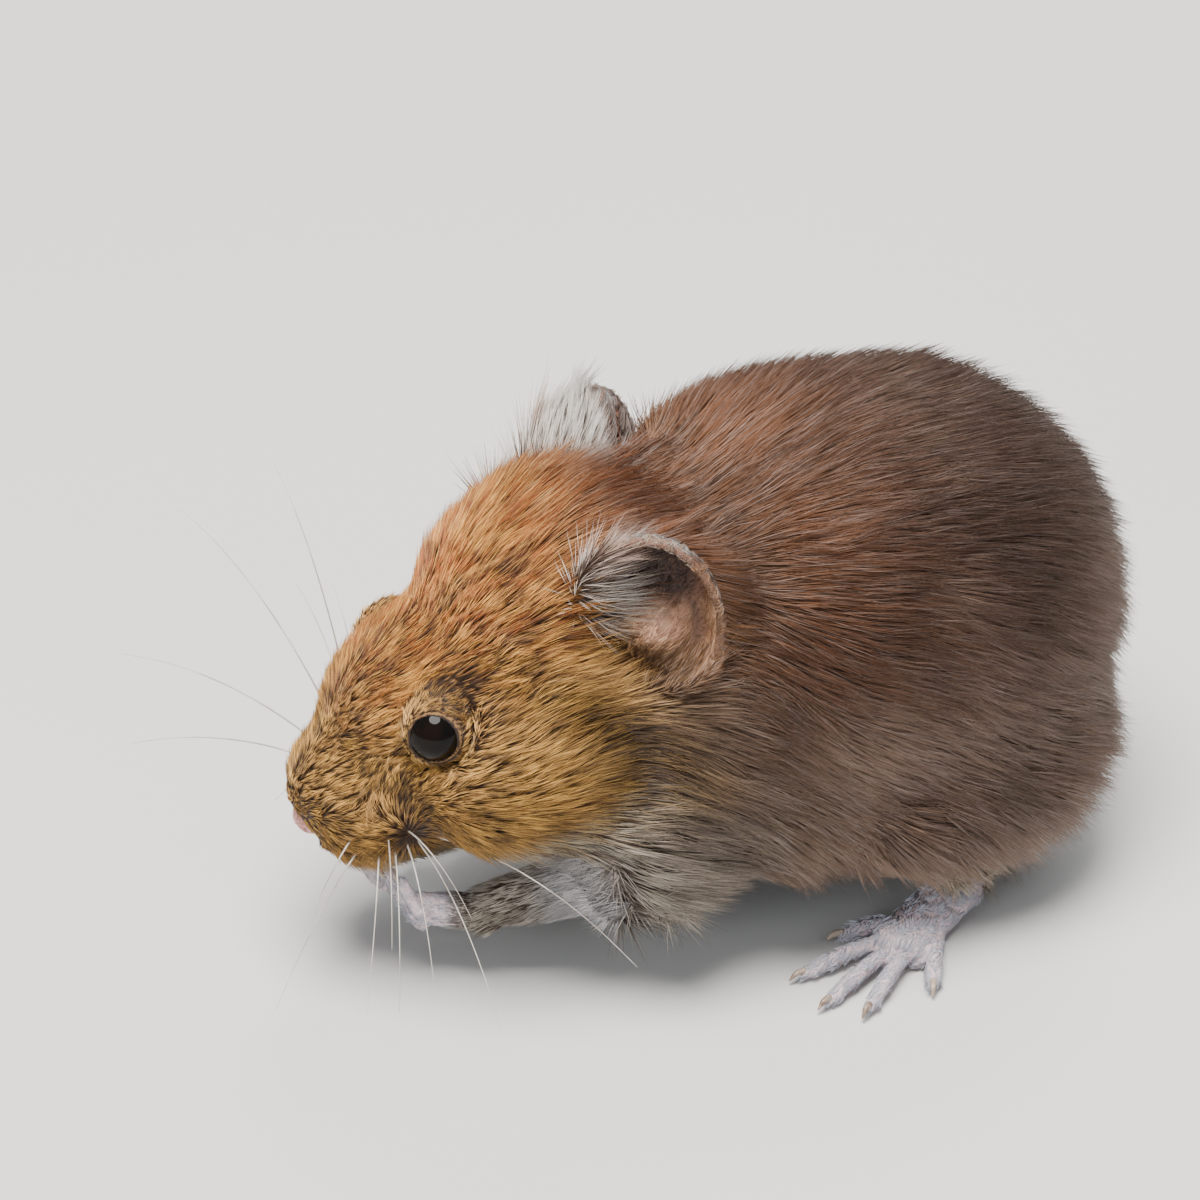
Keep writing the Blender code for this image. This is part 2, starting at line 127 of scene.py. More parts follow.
# What differs by chance from tuft to tuft, and its range
CHANCES = (("shade", 0.0, 1.0), ("size", 0.6, 1.15), ("rise", 0.5, 1.7))
FIRST_SEED = 20
FIRST_SALT = 11
# Tufts gather in locks, so many to the metre, and waves of several scales turn them aside
HEAD_LOCKS = 1400.0
TRUNK_LOCKS = 900.0
LOCK_PULL = 0.55
SWAYS = ((160.0, 0.7), (700.0, 0.9), (2600.0, 0.6))
UNFOLD_FACES = 700
# What the coat's tree takes besides the skin
TREE_INPUTS = {"Seed": "Int", "Region": "Int", "Steps": "Int", "Amount": "Float", "Head Locks": "Float",
               "Trunk Locks": "Float", "Lock Pull": "Float", "Clearance": "Float", "Material": "Material"}
FLOOR_CLEARANCE = 0.06
SPARE_LAYERS = ("lie", "length", "width", "lift", "density", "trunk", "normal", "size", "rise", "pull",
                "local", "lid", "region")
# Kinds of hair: length, hairs on a square millimetre, width, and how steeply they stand
HAIR = {
    "forearm": (1.4, 34.0, 0.05, 0.25), "wrist": (1.0, 34.0, 0.04, 0.25), "forepaw": (0.42, 22.0, 0.026, 0.1),
    "shank": (1.6, 26.0, 0.06, 0.25), "foot": (0.7, 18.0, 0.036, 0.16), "tail": (1.0, 22.0, 0.04, 0.16),
    "ear": (0.8, 34.0, 0.04, 0.2), "ear inside": (0.9, 40.0, 0.04, 0.3),
    "ear front": (4.2, 26.0, 0.046, 0.6), "ear crest": (3.4, 24.0, 0.046, 0.35),
}
# How far in front of the ear's middle its crest of pale hairs ends
CREST_ENDS = {"left": (3.4, 4.6), "right": (-0.4, 0.8)}

# The stage, in metres and watts
LIGHTS = (
    ("key", (0.065, -0.075, 0.5), 0.34, 7.6, (1.0, 0.98, 0.95)),
    ("side", (0.20, -0.42, 0.16), 0.25, 1.1, (0.92, 0.96, 1.0)),
    ("fill", (0.55, 0.10, 0.25), 0.5, 1.0, (0.9, 0.95, 1.0)),
    ("rim", (-0.30, 0.30, 0.40), 0.3, 1.5, (1.0, 1.0, 1.0)),
)
LIT_SPOT = (0.0, 0.0, 0.012)
FLOOR_HALF = 1.5
FLOOR_SINK = 0.00002
FLOOR_COLOUR = (0.62, 0.61, 0.59)
SKY_COLOUR = (0.86, 0.9, 1.0)
SKY_STRENGTH = 0.2
# The camera looks at a spot of the body's frame, in millimetres, from this azimuth, elevation and distance
CAMERA_AZIMUTH = 60.0
CAMERA_ELEVATION = 33.0
CAMERA_DISTANCE = 0.6
CAMERA_AIM = (-6.76, 15.9, 17.53)
CAMERA_SENSOR = 36.0
VIEW_WIDTH = 0.07273


# Frames


def centre(name):
    low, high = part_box(name)
    return (low + high) / 2


def axes_of(x, y, z):
    return Matrix((x, y, z)).transposed().to_4x4()


def head_to_world():
    """The head's frame in metres: +X to its left, +Y back from the nose tip, +Z up."""
    turn = Matrix.Rotation(radians(-HEAD_TURN), 4, "Z")
    dip = Matrix.Rotation(radians(HEAD_DIP), 4, "X")
    axes = turn @ dip
    eyes = (centre("eye_left") + centre("eye_right")) / 2
    nose_tip = eyes - axes @ Vector((0.0, EYE_BACK, EYE_UP)) * MM
    return Matrix.Translation(nose_tip) @ axes @ Matrix.Scale(MM, 4)


HEAD = head_to_world()
BODY = Matrix.Translation(HEAD.translation) @ Matrix.Scale(MM, 4) @ Matrix.Translation(-Vector(NOSE_TIP))


def side_mirror(side):
    return Matrix.Diagonal((SIDES[side], 1.0, 1.0, 1.0))


def ear_to_world(side):
    """An ear's frame: +Z out of its cup, +Y up to its tip, +X to its back edge."""
    opening = Vector((0.93, -0.28, 0.25)).normalized()
    tip = Vector((0.12, 0.42, 0.9))
    back = tip.cross(opening).normalized()
    tip = opening.cross(back)
    return HEAD @ side_mirror(side) @ Matrix.Translation(EAR_PLACE) @ axes_of(back, tip, opening)


def hind_foot_to_world(side):
    """A hind foot's frame: the heel at the origin on the floor, +Y to the toes, +X outward."""
    turn = Matrix.Rotation(radians(180.0 + HEEL_HEADINGS[side]), 4, "Z")
    outward = Matrix.Diagonal((-SIDES[side], 1.0, 1.0, 1.0))
    return BODY @ Matrix.Translation((*HEEL_PLACES[side], 0.0)) @ turn @ outward


def forepaw_to_world(side):
    """A forepaw's frame, held up at the mouth: the wrist at the origin, +Y to the fingers, +X outward."""
    fingers = Vector((-0.56, -0.82, 0.02))
    back_of_paw = Vector((0.62, -0.5, -0.6))
    outward = fingers.cross(back_of_paw).normalized()
    back_of_paw = outward.cross(fingers).normalized()
    axes = axes_of(outward, fingers.normalized(), back_of_paw)
    middle = Matrix.Translation((PAWS_ACROSS, 0.0, 0.0))
    return BODY @ middle @ side_mirror(side) @ Matrix.Translation(WRIST_PLACE) @ axes


# Meshes


def link(name, data):
    obj = bpy.data.objects.new(name, data)
    bpy.context.scene.collection.objects.link(obj)
    return obj


def object_of(name, bm, outward=True):
    """An object of a bmesh, its faces turned outward if told so."""
    mesh = bpy.data.meshes.new(name)
    if outward:
        bmesh.ops.recalc_face_normals(bm, faces=bm.faces)
    bm.to_mesh(mesh)
    bm.free()
    return link(name, mesh)


def evaluated(obj):
    """A new mesh of an object with its modifiers made real."""
    graph = bpy.context.evaluated_depsgraph_get()
    return bpy.data.meshes.new_from_object(obj.evaluated_get(graph), depsgraph=graph)


def bake(obj):
    """Makes an object's modifiers real."""
    mesh, old = evaluated(obj), obj.data
    obj.modifiers.clear()
    obj.data = mesh
    bpy.data.meshes.remove(old)
    return obj


def read(items, field, width=1, kind=np.float32):
    """One field of a mesh's items, as rows of width values."""
    flat = np.empty(width * len(items), kind)
    items.foreach_get(field, flat)
    return flat.reshape(-1, width) if width > 1 else flat


def points_of(mesh):
    return read(mesh.vertices, "co", 3).astype(float)


def normals_of(mesh):
    return read(mesh.vertices, "normal", 3).astype(float)


def set_points(mesh, points):
    mesh.vertices.foreach_set("co", points.astype(np.float32).ravel())
    mesh.update()


def in_frame(points, matrix):
    """Points in metres, given in the frame of matrix."""
    back = np.array(matrix.inverted())
    return points @ back[:3, :3].T + back[:3, 3]


def distance_to(points, spot):
    """How far points lie from a spot of the head's frame, in millimetres."""
    return np.linalg.norm(points - np.array(HEAD @ Vector(spot)), axis=1) / MM


def unit(vectors):
    return vectors / np.maximum(np.linalg.norm(vectors, axis=-1, keepdims=True), 1e-12)


def step(value, low, high):
    """0 below low, 1 above high, smooth between."""
    share = np.clip((value - low) / (high - low), 0.0, 1.0)
    return share * share * (3.0 - 2.0 * share)


def bump(value, middle, width):
    return np.exp(-((value - middle) / width) ** 2)


def remesh(obj, voxel, smoothing):
    melt = obj.modifiers.new("melt", "REMESH")
    melt.mode = "VOXEL"
    melt.voxel_size = voxel * MM
    soften = obj.modifiers.new("soften", "SMOOTH")
    soften.iterations = smoothing
    return bake(obj)


def decimate(obj, share):
    shrink = obj.modifiers.new("shrink", "DECIMATE")
    shrink.ratio = min(1.0, share)
    shrink.use_collapse_triangulate = True
    return bake(obj)


def merge(name, objects):
    """One object of several, which are removed."""
    bm = bmesh.new()
    for obj in objects:
        bm.from_mesh(obj.data)
        bpy.data.objects.remove(obj)
    return object_of(name, bm, outward=False)


def solid_copies(name, nodes, grow):
    """Merged copies of CAD nodes, each grown by a margin so that the thin cuts between them close."""
    copies = []
    for solid in nodes:
        bm = bmesh.new()
        bm.from_mesh(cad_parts[solid].data)
        bmesh.ops.remove_doubles(bm, verts=bm.verts, dist=1e-7)
        bm.normal_update()
        for vertex in bm.verts:
            vertex.co += vertex.normal * grow * MM
        copies.append(object_of(solid + "_copy", bm))
    return merge(name, copies)


def ellipsoid(bm, middle, radii, matrix, detail=4, turn=Matrix()):
    place = matrix @ Matrix.Translation(middle) @ turn @ Matrix.Diagonal((*radii, 1.0))
    bmesh.ops.create_icosphere(bm, subdivisions=detail, radius=1.0, matrix=place)


def tube(bm, stations, matrix=Matrix(), sides=10):
    """A tapering tube with round ends through (place, radius) stations."""
    places = [Vector(place) for place, _ in stations]
    radii = [radius for _, radius in stations]
    spine, girths = [], []
    for i in range(len(places) - 1):
        before = places[max(i - 1, 0)]
        after = places[min(i + 2, len(places) - 1)]
        for k in range(5):
            t = k / 5
            spine.append(catmull(before, places[i], places[i + 1], after, t))
            girths.append(radii[i] + (radii[i + 1] - radii[i]) * t)
    spine.append(places[-1])
    girths.append(radii[-1])
    rings = []
    for i, (spot, girth) in enumerate(zip(spine, girths)):
        ahead = (spine[min(i + 1, len(spine) - 1)] - spine[max(i - 1, 0)]).normalized()
        side = ahead.orthogonal().normalized() if i == 0 else (side - ahead * side.dot(ahead)).normalized()
        up = ahead.cross(side)
        ring = []
        for k in range(sides):
            angle = 2 * pi * k / sides
            offset = (side * cos(angle) + up * sin(angle)) * girth
            ring.append(bm.verts.new(matrix @ (spot + offset)))
        rings.append(ring)
    for first, second in zip(rings, rings[1:]):
        for k in range(sides):
            bm.faces.new((first[k], first[(k + 1) % sides], second[(k + 1) % sides], second[k]))
    bm.faces.new(rings[0][::-1])
    bm.faces.new(rings[-1])
    ellipsoid(bm, spine[0], (girths[0],) * 3, matrix, detail=2)
    ellipsoid(bm, spine[-1], (girths[-1],) * 3, matrix, detail=2)


def catmull(before, first, second, after, t):
    return 0.5 * (2 * first + (second - before) * t + (2 * before - 5 * first + 4 * second - after) * t * t
                  + (3 * first - before - 3 * second + after) * t ** 3)


# The skin


def coat_depth(points):
    """How far the skin lies inside the coat's outline, in millimetres."""
    head = in_frame(points, HEAD)
    body = in_frame(points, BODY)
    face = step(head[:, 1], 1.0, 13.0) * 0.6 + 0.25
    temple = bump(np.abs(head[:, 0]), 4.6, 4.0) * bump(head[:, 1], 16.5, 6.0) * step(head[:, 2], 3.0, 8.0)
    crown = face + step(head[:, 1], 12.0, 24.0) * 0.5 + temple * 0.9
    heel_bulge = bump(body[:, 0], 11.0, 6.0) * bump(body[:, 1], 43.0, 6.0) * bump(body[:, 2], 7.0, 6.0)
    trunk = 1.3 + 0.2 * step(body[:, 1], 16.0, 34.0) + 1.7 * heel_bulge
    on_trunk = step(head[:, 1], 18.0, 28.0)
    return crown * (1 - on_trunk) + trunk * on_trunk


def body_form():
    """The flesh without feet and ears, smooth and lying under the coat."""
    fills = bmesh.new()
    for side in SIDES:
        ellipsoid(fills, (0.2, -0.6, -4.6), (5.2, 5.4, 2.4), ear_to_world(side))
    ellipsoid(fills, (5.5, 41.5, 11.0), (5.0, 3.9, 6.5), BODY)
    ellipsoid(fills, (0.0, 6.6, -3.6), (3.0, 5.0, 2.6), HEAD)
    ellipsoid(fills, (0.0, 12.0, -4.6), (4.6, 6.0, 3.2), HEAD)
    flesh = merge("flesh", [solid_copies("flesh", FLESH, FLESH_GROWTH), object_of("fills", fills)])
    form = remesh(flesh, FLESH_VOXEL, 14)
    head = in_frame(points_of(form.data), HEAD)
    trunk = form.vertex_groups.new(name="trunk")
    for index, share in enumerate(step(head[:, 1], 16.0, 30.0)):
        if share > 0.0:
            trunk.add((index,), share, "REPLACE")
    soften = form.modifiers.new("soften", "SMOOTH")
    soften.vertex_group = "trunk"
    soften.iterations = 40
    bake(form)
    points, normals = points_of(form.data), normals_of(form.data)
    set_points(form.data, points - normals * coat_depth(points)[:, None] * MM)
    limbs = remesh(solid_copies("limbs", LIMBS, LIMB_GROWTH), LIMB_VOXEL, 4)
    return merge("form", [form, limbs])


def face_form():
    """The mounds round the eyes, the lids, the lips and the whisker pads."""
    bm = bmesh.new()
    turn = EYE_AXIS.to_track_quat("Z", "Y").to_matrix().to_4x4()
    for side in SIDES:
        place = HEAD @ side_mirror(side)
        eye = Vector((eye_reach(), EYE_BACK, EYE_UP))
        ellipsoid(bm, eye - EYE_AXIS * 1.2, (2.5, 2.4, 1.75), place, turn=turn)
        for reach in LID_RINGS:
            ring = []
            for k in range(RING_STEPS):
                angle = 2 * pi * k / RING_STEPS
                spot = Vector((reach * cos(angle), 1.06 * reach * sin(angle), 0.0))
                spot.z = sqrt(max(LID_OUT ** 2 - spot.length_squared, 0.0))
                ring.append(eye + turn @ spot)
            for first, second in zip(ring, ring[1:] + ring[:1]):
                tube(bm, ((first, LID_GIRTH), (second, LID_GIRTH)), place, sides=8)
        ellipsoid(bm, (1.2, 2.5, -1.25), (1.3, 2.0, 1.35), place)
    ellipsoid(bm, (0.0, 3.7, -2.75), (1.45, 2.3, 1.0), HEAD)
    return object_of("face", bm)


def eye_reach():
    """How far each eye lies from the head's middle."""
    eyes = centre("eye_left") - centre("eye_right")
    return eyes.length / 2 / MM


def ear_form(side):
    """A thin cup with a rolled rim, deep in front of and above a soft inner mound."""
    rings, around = 22, 60
    bm = bmesh.new()
    grid = []
    for i in range(1, rings + 1):
        row = []
        for k in range(around):
            row.append(bm.verts.new(ear_to_world(side) @ ear_point(i / rings, 2 * pi * k / around)))
        grid.append(row)
    middle = bm.verts.new(ear_to_world(side) @ ear_point(0.0, 0.0))
    for k in range(around):
        after = (k + 1) % around
        bm.faces.new((middle, grid[0][k], grid[0][after]))
        for i in range(rings - 1):
            bm.faces.new((grid[i][k], grid[i + 1][k], grid[i + 1][after], grid[i][after]))
    if SIDES[side] < 0:
        bmesh.ops.reverse_faces(bm, faces=bm.faces)
    obj = object_of("ear", bm, outward=False)
    wall = obj.modifiers.new("wall", "SOLIDIFY")
    wall.thickness = 0.46 * MM
    wall.offset = -1.0
    bake(obj)
    root = bmesh.new()
    ellipsoid(root, (-0.4, -1.4, -5.0), (3.6, 3.8, 1.9), ear_to_world(side), detail=3)
    return [obj, object_of("ear_root", root)]


def ear_point(reach, angle):
    """A point of the ear's inner face: reach is 0 at its bottom and 1 at its rim, angle 0 at the back."""
    back, tip = cos(angle), sin(angle)
    roll = 1.0 - 0.5 * max(0.0, reach - 0.9)
    front = max(0.0, -back)
    notch = 1.0 - 0.10 * exp(-((angle - 1.2 * pi) / 0.5) ** 2)
    x = EAR_HALF_WIDTH * reach * back * roll * notch
    y = EAR_HALF_HEIGHT * reach * tip * roll * notch
    z = -EAR_DEPTH * (1 - reach ** 2.3) ** 0.62
    z += 1.7 * exp(-((x - 0.3) ** 2 + (y + 1.4) ** 2) / 1.7 ** 2) * (1 - reach ** 4)
    z += reach ** 4 * (0.35 * back - 0.7 * front ** 2 - 2.3 * max(0.0, -0.5 * back - 0.87 * tip) ** 2)
    z += 0.10 * sin(3 * angle + 0.6) * reach ** 3
    return Vector((x, y, z))


def digit_path(digit, height, drop):
    """The points of one digit: an arch that comes down to the tip."""
    sideways, forward, splay, length = digit
    along = Vector((sin(radians(splay)), cos(radians(splay)), 0.0))
    base = Vector((sideways, forward, height))
    reach = ((0.0, 0.0), (0.3, 0.26), (0.6, 0.04), (0.82, -0.3), (0.94, -0.42))
    return [base + along * part * length + Vector((0, 0, lift * drop)) for part, lift in reach]


def foot_form(bm, matrix, digits, sizes):
    """Adds the digits of one foot: knuckles, pads below and a thickened tip."""
    height, drop, girth, _ = sizes
    for digit in digits:
        path = digit_path(digit, height, drop)
        tube(bm, list(zip(path, (girth, girth * 0.82, girth * 0.86, girth * 0.74, girth * 0.6))), matrix)
        for share, size in ((0, 1.06), (2, 0.98), (3, 0.92)):
            spot = path[share] - Vector((0, 0, girth * 0.22))
            pad = (girth * size * 0.95, girth * size * 1.1, girth * size * 0.8)
            ellipsoid(bm, spot, pad, matrix, detail=2)


def hind_foot_form(side):
    matrix = hind_foot_to_world(side)
    bm = bmesh.new()
    sole = (((0, 0.2, 1.75), 1.2), ((0, 3.2, 1.6), 1.25), ((0, 6.4, 1.35), 1.15), ((0, 8.4, 1.15), 0.95))
    tube(bm, sole, matrix)
    for sideways in (-0.75, 0.75):
        tube(bm, (((sideways, 1.6, 1.4), 0.9), ((1.2 * sideways, 8.4, 1.1), 0.88)), matrix)
    foot_form(bm, matrix, HIND_TOES, HIND_DIGITS)
    for sideways, forward in ((-1.3, 8.6), (0.0, 9.4), (1.2, 8.4), (-0.6, 4.8), (0.0, 1.0)):
        ellipsoid(bm, (sideways, forward, 0.5), (0.75, 0.75, 0.6), matrix, detail=3)
    return object_of("hind_foot_form", bm)


def curled(matrix):
    """A forepaw's frame bent at the roots of the fingers."""
    root = Matrix.Translation((0, FINGER_ROOT, 0))
    return matrix @ root @ Matrix.Rotation(radians(FINGER_CURL), 4, "X") @ root.inverted()


def forepaw_form(side):
    matrix = forepaw_to_world(side)
    bm = bmesh.new()
    tube(bm, (((0, -1.6, 0), 1.05), ((0, 1.2, 0), 1.1), ((0, 2.8, 0), 0.9)), matrix)
    for sideways in (-0.8, 0.8):
        tube(bm, (((0.6 * sideways, 0.3, 0), 0.72), ((sideways, 2.8, 0), 0.78)), matrix)
    foot_form(bm, curled(matrix), FINGERS, FORE_DIGITS)
    return object_of("forepaw_form", bm)


def make_skin():
    forms = [body_form(), face_form()]
    for side in SIDES:
        forms += [*ear_form(side), hind_foot_form(side), forepaw_form(side)]
    skin = remesh(merge("skin", forms), SKIN_VOXEL, 3)
    sculpt_face(skin)
    decimate(skin, SKIN_TRIANGLES / (2 * len(skin.data.polygons)))
    rest_on_floor(skin)
    skin.data.shade_smooth()
    return skin


def rest_on_floor(obj):
    points = points_of(obj.data)
    points[:, 2] = np.maximum(points[:, 2], 0.0)
    set_points(obj.data, points)


def sculpt_face(skin):
    """Presses the mouth and the groove below the nose into the skin."""
    points, normals = points_of(skin.data), normals_of(skin.data)
    across, back, up = in_frame(points, HEAD).T
    mouth = -2.35 - 0.09 * back - 0.02 * back ** 2
    near = step(back, -1.0, 1.0) * (1 - step(back, 5.0, 7.0)) * (1 - step(abs(across), 2.4, 3.2))
    sink = 0.34 * bump(up, mouth, 0.30) * near
    sink += 0.22 * bump(across, 0.0, 0.22) * (1 - step(back, 0.8, 2.0)) * (1 - step(up, -0.6, 0.0))
    set_points(skin.data, points - normals * sink[:, None] * MM)


# Markings, worked out the same way for the skin and for the root of each tuft


def operator(operation, swapped=False, output=0):
    """A method of Wire that adds one Math or Vector Math node."""

    def method(self, *others):
        operands = (*others, self) if swapped else (self, *others)
        flat = all(isinstance(o, (int, float)) or isinstance(o, Wire) and o.socket.type != "VECTOR"
                   for o in operands)
        kind = "ShaderNodeMath" if flat else "ShaderNodeVectorMath"
        return self.into(kind, {"operation": operation}, dict(enumerate(operands)), output)

    return method


class Wire:
    """An output socket whose arithmetic adds Math or Vector Math nodes."""

    def __init__(self, socket):
        self.socket = socket

    __add__ = operator("ADD")
    __radd__ = operator("ADD", swapped=True)
    __sub__ = operator("SUBTRACT")
    __rsub__ = operator("SUBTRACT", swapped=True)
    __mul__ = operator("MULTIPLY")
    __rmul__ = operator("MULTIPLY", swapped=True)
    magnitude = operator("ABSOLUTE")
    at_least = operator("MAXIMUM")
    dot = operator("DOT_PRODUCT", output="Value")
    cross = operator("CROSS_PRODUCT")
    unit = operator("NORMALIZE")
    length = operator("LENGTH", output="Value")

    def into(self, kind, settings, inputs, output=0):
        """A new node in the same tree."""
        return node(self.socket.id_data, kind, settings, inputs, output)

    def beside(self, output):
        """Another output of the same node."""
        return Wire(self.socket.node.outputs[output])

    def part(self, axis):
        return self.into("ShaderNodeSeparateXYZ", {}, {0: self}, axis)

    def ramp(self, low, high, to_low=0.0, to_high=1.0):
        """A smooth climb from to_low to to_high as the value goes from low to high."""
        ends = {"From Min": low, "From Max": high, "To Min": to_low, "To Max": to_high}
        return self.into("ShaderNodeMapRange", {"interpolation_type": "SMOOTHSTEP"}, {"Value": self, **ends})


def node(tree, kind, settings, inputs, output=0):
    """Adds a node: its settings first, then the values or links of its sockets."""
    made = tree.nodes.new(kind)
    for name, value in settings.items():
        setattr(made, name, value)
    for key, value in inputs.items():
        socket = made.inputs[key]
        if isinstance(value, Wire):
            tree.links.new(value.socket, socket)
        elif socket.type == "VECTOR" and isinstance(value, (int, float)):
            socket.default_value = (value,) * 3
        elif socket.type == "RGBA":
            socket.default_value = (*value, 1.0)
        else:
            socket.default_value = value
    return Wire(made.outputs[output]) if made.outputs else None


def mix(share, first, second):
    """A colour between two colours."""
    return share.into("ShaderNodeMix", {"data_type": "RGBA"}, {0: share, 6: first, 7: second}, 2)


def noise(where, scale, detail=2.0, output="Fac"):
    return where.into("ShaderNodeTexNoise", {}, {"Vector": where, "Scale": scale, "Detail": detail}, output)


def paint(red, green, blue):
    """Screen values from 0 to 255 as the linear colour that shaders take."""
    return tuple(((c / 255 + 0.055) / 1.055) ** 2.4 for c in (red, green, blue))


CROWN = paint(172, 92, 30)
CHEEK = paint(206, 154, 84)
BRIDGE = paint(120, 80, 44)
PAD = paint(104, 66, 46)
JAW = paint(120, 100, 82)
LIP = paint(214, 204, 190)
THROAT = paint(196, 188, 170)
NAPE = paint(146, 98, 68)
BACK = paint(134, 104, 88)
FLANK = paint(148, 120, 102)
# Painted shade: the coat darkens towards the rear
RUMP_SHADE = paint(110, 92, 82)
BELLY = paint(190, 178, 156)
SLATE = paint(66, 52, 44)
SHADOW = paint(88, 64, 50)
SHEEN = paint(182, 152, 134)
DARK_TIP = paint(54, 36, 26)
LIGHT_TIP = paint(240, 188, 98)
GREY_TIP = paint(204, 186, 178)
FOOT_HAIR = paint(200, 202, 214)
FOOT_SKIN = paint(204, 184, 188)
EAR_HAIR = paint(168, 122, 84)
EAR_SKIN = paint(126, 90, 72)
# The ear's inner mound: its own paler skin, lightened further as painted light
EAR_LOBE_AND_LIGHT = paint(214, 168, 140)
# Painted shade: deep in the ear's cup, in a crease behind its mound and on the back of its rim
EAR_HOLLOW_SHADE = paint(38, 28, 26)
EAR_BACK = paint(96, 84, 78)
EAR_FRINGE = paint(194, 190, 184)
TAIL_ABOVE = paint(92, 74, 62)
TAIL_BELOW = paint(176, 160, 146)
LID = paint(46, 34, 30)
EYE_RING = paint(226, 186, 122)
EYE_BLACK = paint(12, 11, 10)
EYE_BROWN = paint(20, 14, 11)
NOSE_PINK = paint(196, 138, 128)
NOSE_DARK = paint(160, 100, 94)
WHISKER_PALE = paint(198, 190, 180)
WHISKER_DARK = paint(150, 140, 130)
HORN_PALE = paint(168, 150, 134)
HORN_DARK = paint(112, 92, 78)


def head_part(where, axis):
    """How far where lies along one axis of the head's frame, in millimetres."""
    direction = HEAD.to_3x3().col[axis].normalized()
    return (where - tuple(HEAD.translation)).dot(tuple(direction / MM))


def body_part(where, axis):
    """How far where lies along X, Y or Z from the body's zero point, in millimetres."""
    return where.part("XYZ"[axis]) * 1000.0 - BODY.translation[axis] * 1000.0


def reach_from(where, spot):
    """How far where lies from a spot in the head's frame, in millimetres."""
    return (where - tuple(HEAD @ Vector(spot))).length() * 1000.0


def stored(tree, name, output="Fac"):
    return node(tree, "ShaderNodeAttribute", {"attribute_name": name}, {}, output)


def eye_spot(sign):
    """An eye's middle in the head's frame, on its left for 1 and on its right for -1."""
    return (sign * eye_reach(), EYE_BACK, EYE_UP)


def markings(where):
    """The colour of the coat at a place on the skin."""
    left, back, up = (head_part(where, axis) for axis in range(3))
    along, height = body_part(where, 1), body_part(where, 2)
    drift = (noise(where, 180.0, 2.0) - 0.5) * 6.0
    trunk = (back + drift).ramp(14.0, 32.0)
    face = mix((up + drift * 0.5).ramp(3.0, 8.5), CHEEK, CROWN)
    bridge = left.magnitude().ramp(2.6, 0.8) * up.ramp(1.5, 3.0) * back.ramp(12.0, 6.0)
    face = mix(bridge * 0.5, face, BRIDGE)
    for sign in (1, -1):
        face = mix(reach_from(where, (sign * 4.0, 6.4, -1.2)).ramp(2.8, 0.5, 0.0, 0.85), face, PAD)
        face = mix(reach_from(where, (sign * 5.0, 8.4, 2.6)).ramp(1.8, 0.5, 0.0, 0.5), face, BRIDGE)
        ring = reach_from(where, eye_spot(sign))
        face = mix(ring.ramp(1.7, 1.9) * ring.ramp(2.7, 2.0) * 0.5, face, EYE_RING)
    face = mix((back + drift).ramp(13.0, 19.0) * (up + drift).ramp(4.0, -1.0) * 0.92, face, JAW)
    chin = (up + drift * 0.3).ramp(-2.6, -4.2) * back.ramp(22.0, 14.0)
    face = mix(chin, face, THROAT)
    face = mix(up.ramp(-1.3, -2.3) * back.ramp(5.6, 3.6), face, LIP)
    side = (height + drift).ramp(25.0, 15.0)
    torso = mix((along + drift).ramp(20.0, 32.0), NAPE, BACK)
    torso = mix(side * 0.85, torso, FLANK)
    # Painted shade darkens the coat towards the rump
    torso = mix((along + drift).ramp(34.0, 48.0) * 0.8, torso, RUMP_SHADE)
    torso = mix((height + drift * 0.3).ramp(7.4, 4.2), torso, BELLY)
    patches = noise(where, 150.0, 3.0)
    torso = mix(patches.ramp(0.5, 0.34, 0.0, 0.4), torso, SHADOW)
    torso = mix(patches.ramp(0.5, 0.68, 0.0, 0.35), torso, SHEEN)
    chest = (height + drift * 0.5).ramp(15.0, 10.5) * (along + drift).ramp(17.0, 10.0)
    torso = mix(chest, torso, THROAT)
    return mix(noise(where, 420.0, 2.0).ramp(0.5, 0.8, 0.0, 0.3), mix(trunk, face, torso), SLATE)


def plain_material(name, colour, roughness, **sockets):
    made = bpy.data.materials.new(name)
    made.use_nodes = True
    shader = made.node_tree.nodes["Principled BSDF"]
    shader.inputs["Base Color"].default_value = (*colour, 1.0)
    shader.inputs["Roughness"].default_value = roughness
    for socket, value in sockets.items():
        shader.inputs[socket.replace("_", " ")].default_value = value
    return made


def grained_material(name, first, second, scale, roughness, relief, **sockets):
    """A material whose colour, gloss and relief follow one fine noise."""
    made = plain_material(name, first, roughness, **sockets)
    where = node(made.node_tree, "ShaderNodeTexCoord", {}, {}, "Object")
    grain = noise(where, scale, 3.0)
    feed(made, "Base Color", mix(grain.ramp(0.38, 0.64), first, second))
    feed(made, "Roughness", grain.ramp(0.3, 0.7, roughness * 0.75, roughness * 1.3))
    feed(made, "Normal", relief_of(grain, 0.5, relief * MM))
    return made


def relief_of(height, strength, distance):
    """A bumped normal."""
    return height.into("ShaderNodeBump", {}, {"Strength": strength, "Distance": distance, "Height": height},
                       "Normal")


def feed(material, socket, wire):
    shader = material.node_tree.nodes["Principled BSDF"]
    material.node_tree.links.new(wire.socket, shader.inputs[socket])


def part_colour(tree, coat, foot, ear, tail):
    """The coat's colour with those of the feet, ears and tail laid over it."""
    colour = mix(stored(tree, "foot"), coat, foot)
    colour = mix(stored(tree, "ear"), colour, ear)
    return mix(stored(tree, "tail"), colour, tail)


def on_fur(tree):
    """1 on head and trunk, 0 on feet, ears and tail."""
    return (1.0 - stored(tree, "foot")) * (1.0 - stored(tree, "ear")) * (1.0 - stored(tree, "tail"))


def tail_colour(where):
    return mix(body_part(where, 2).ramp(0.8, 1.8), TAIL_BELOW, TAIL_ABOVE)


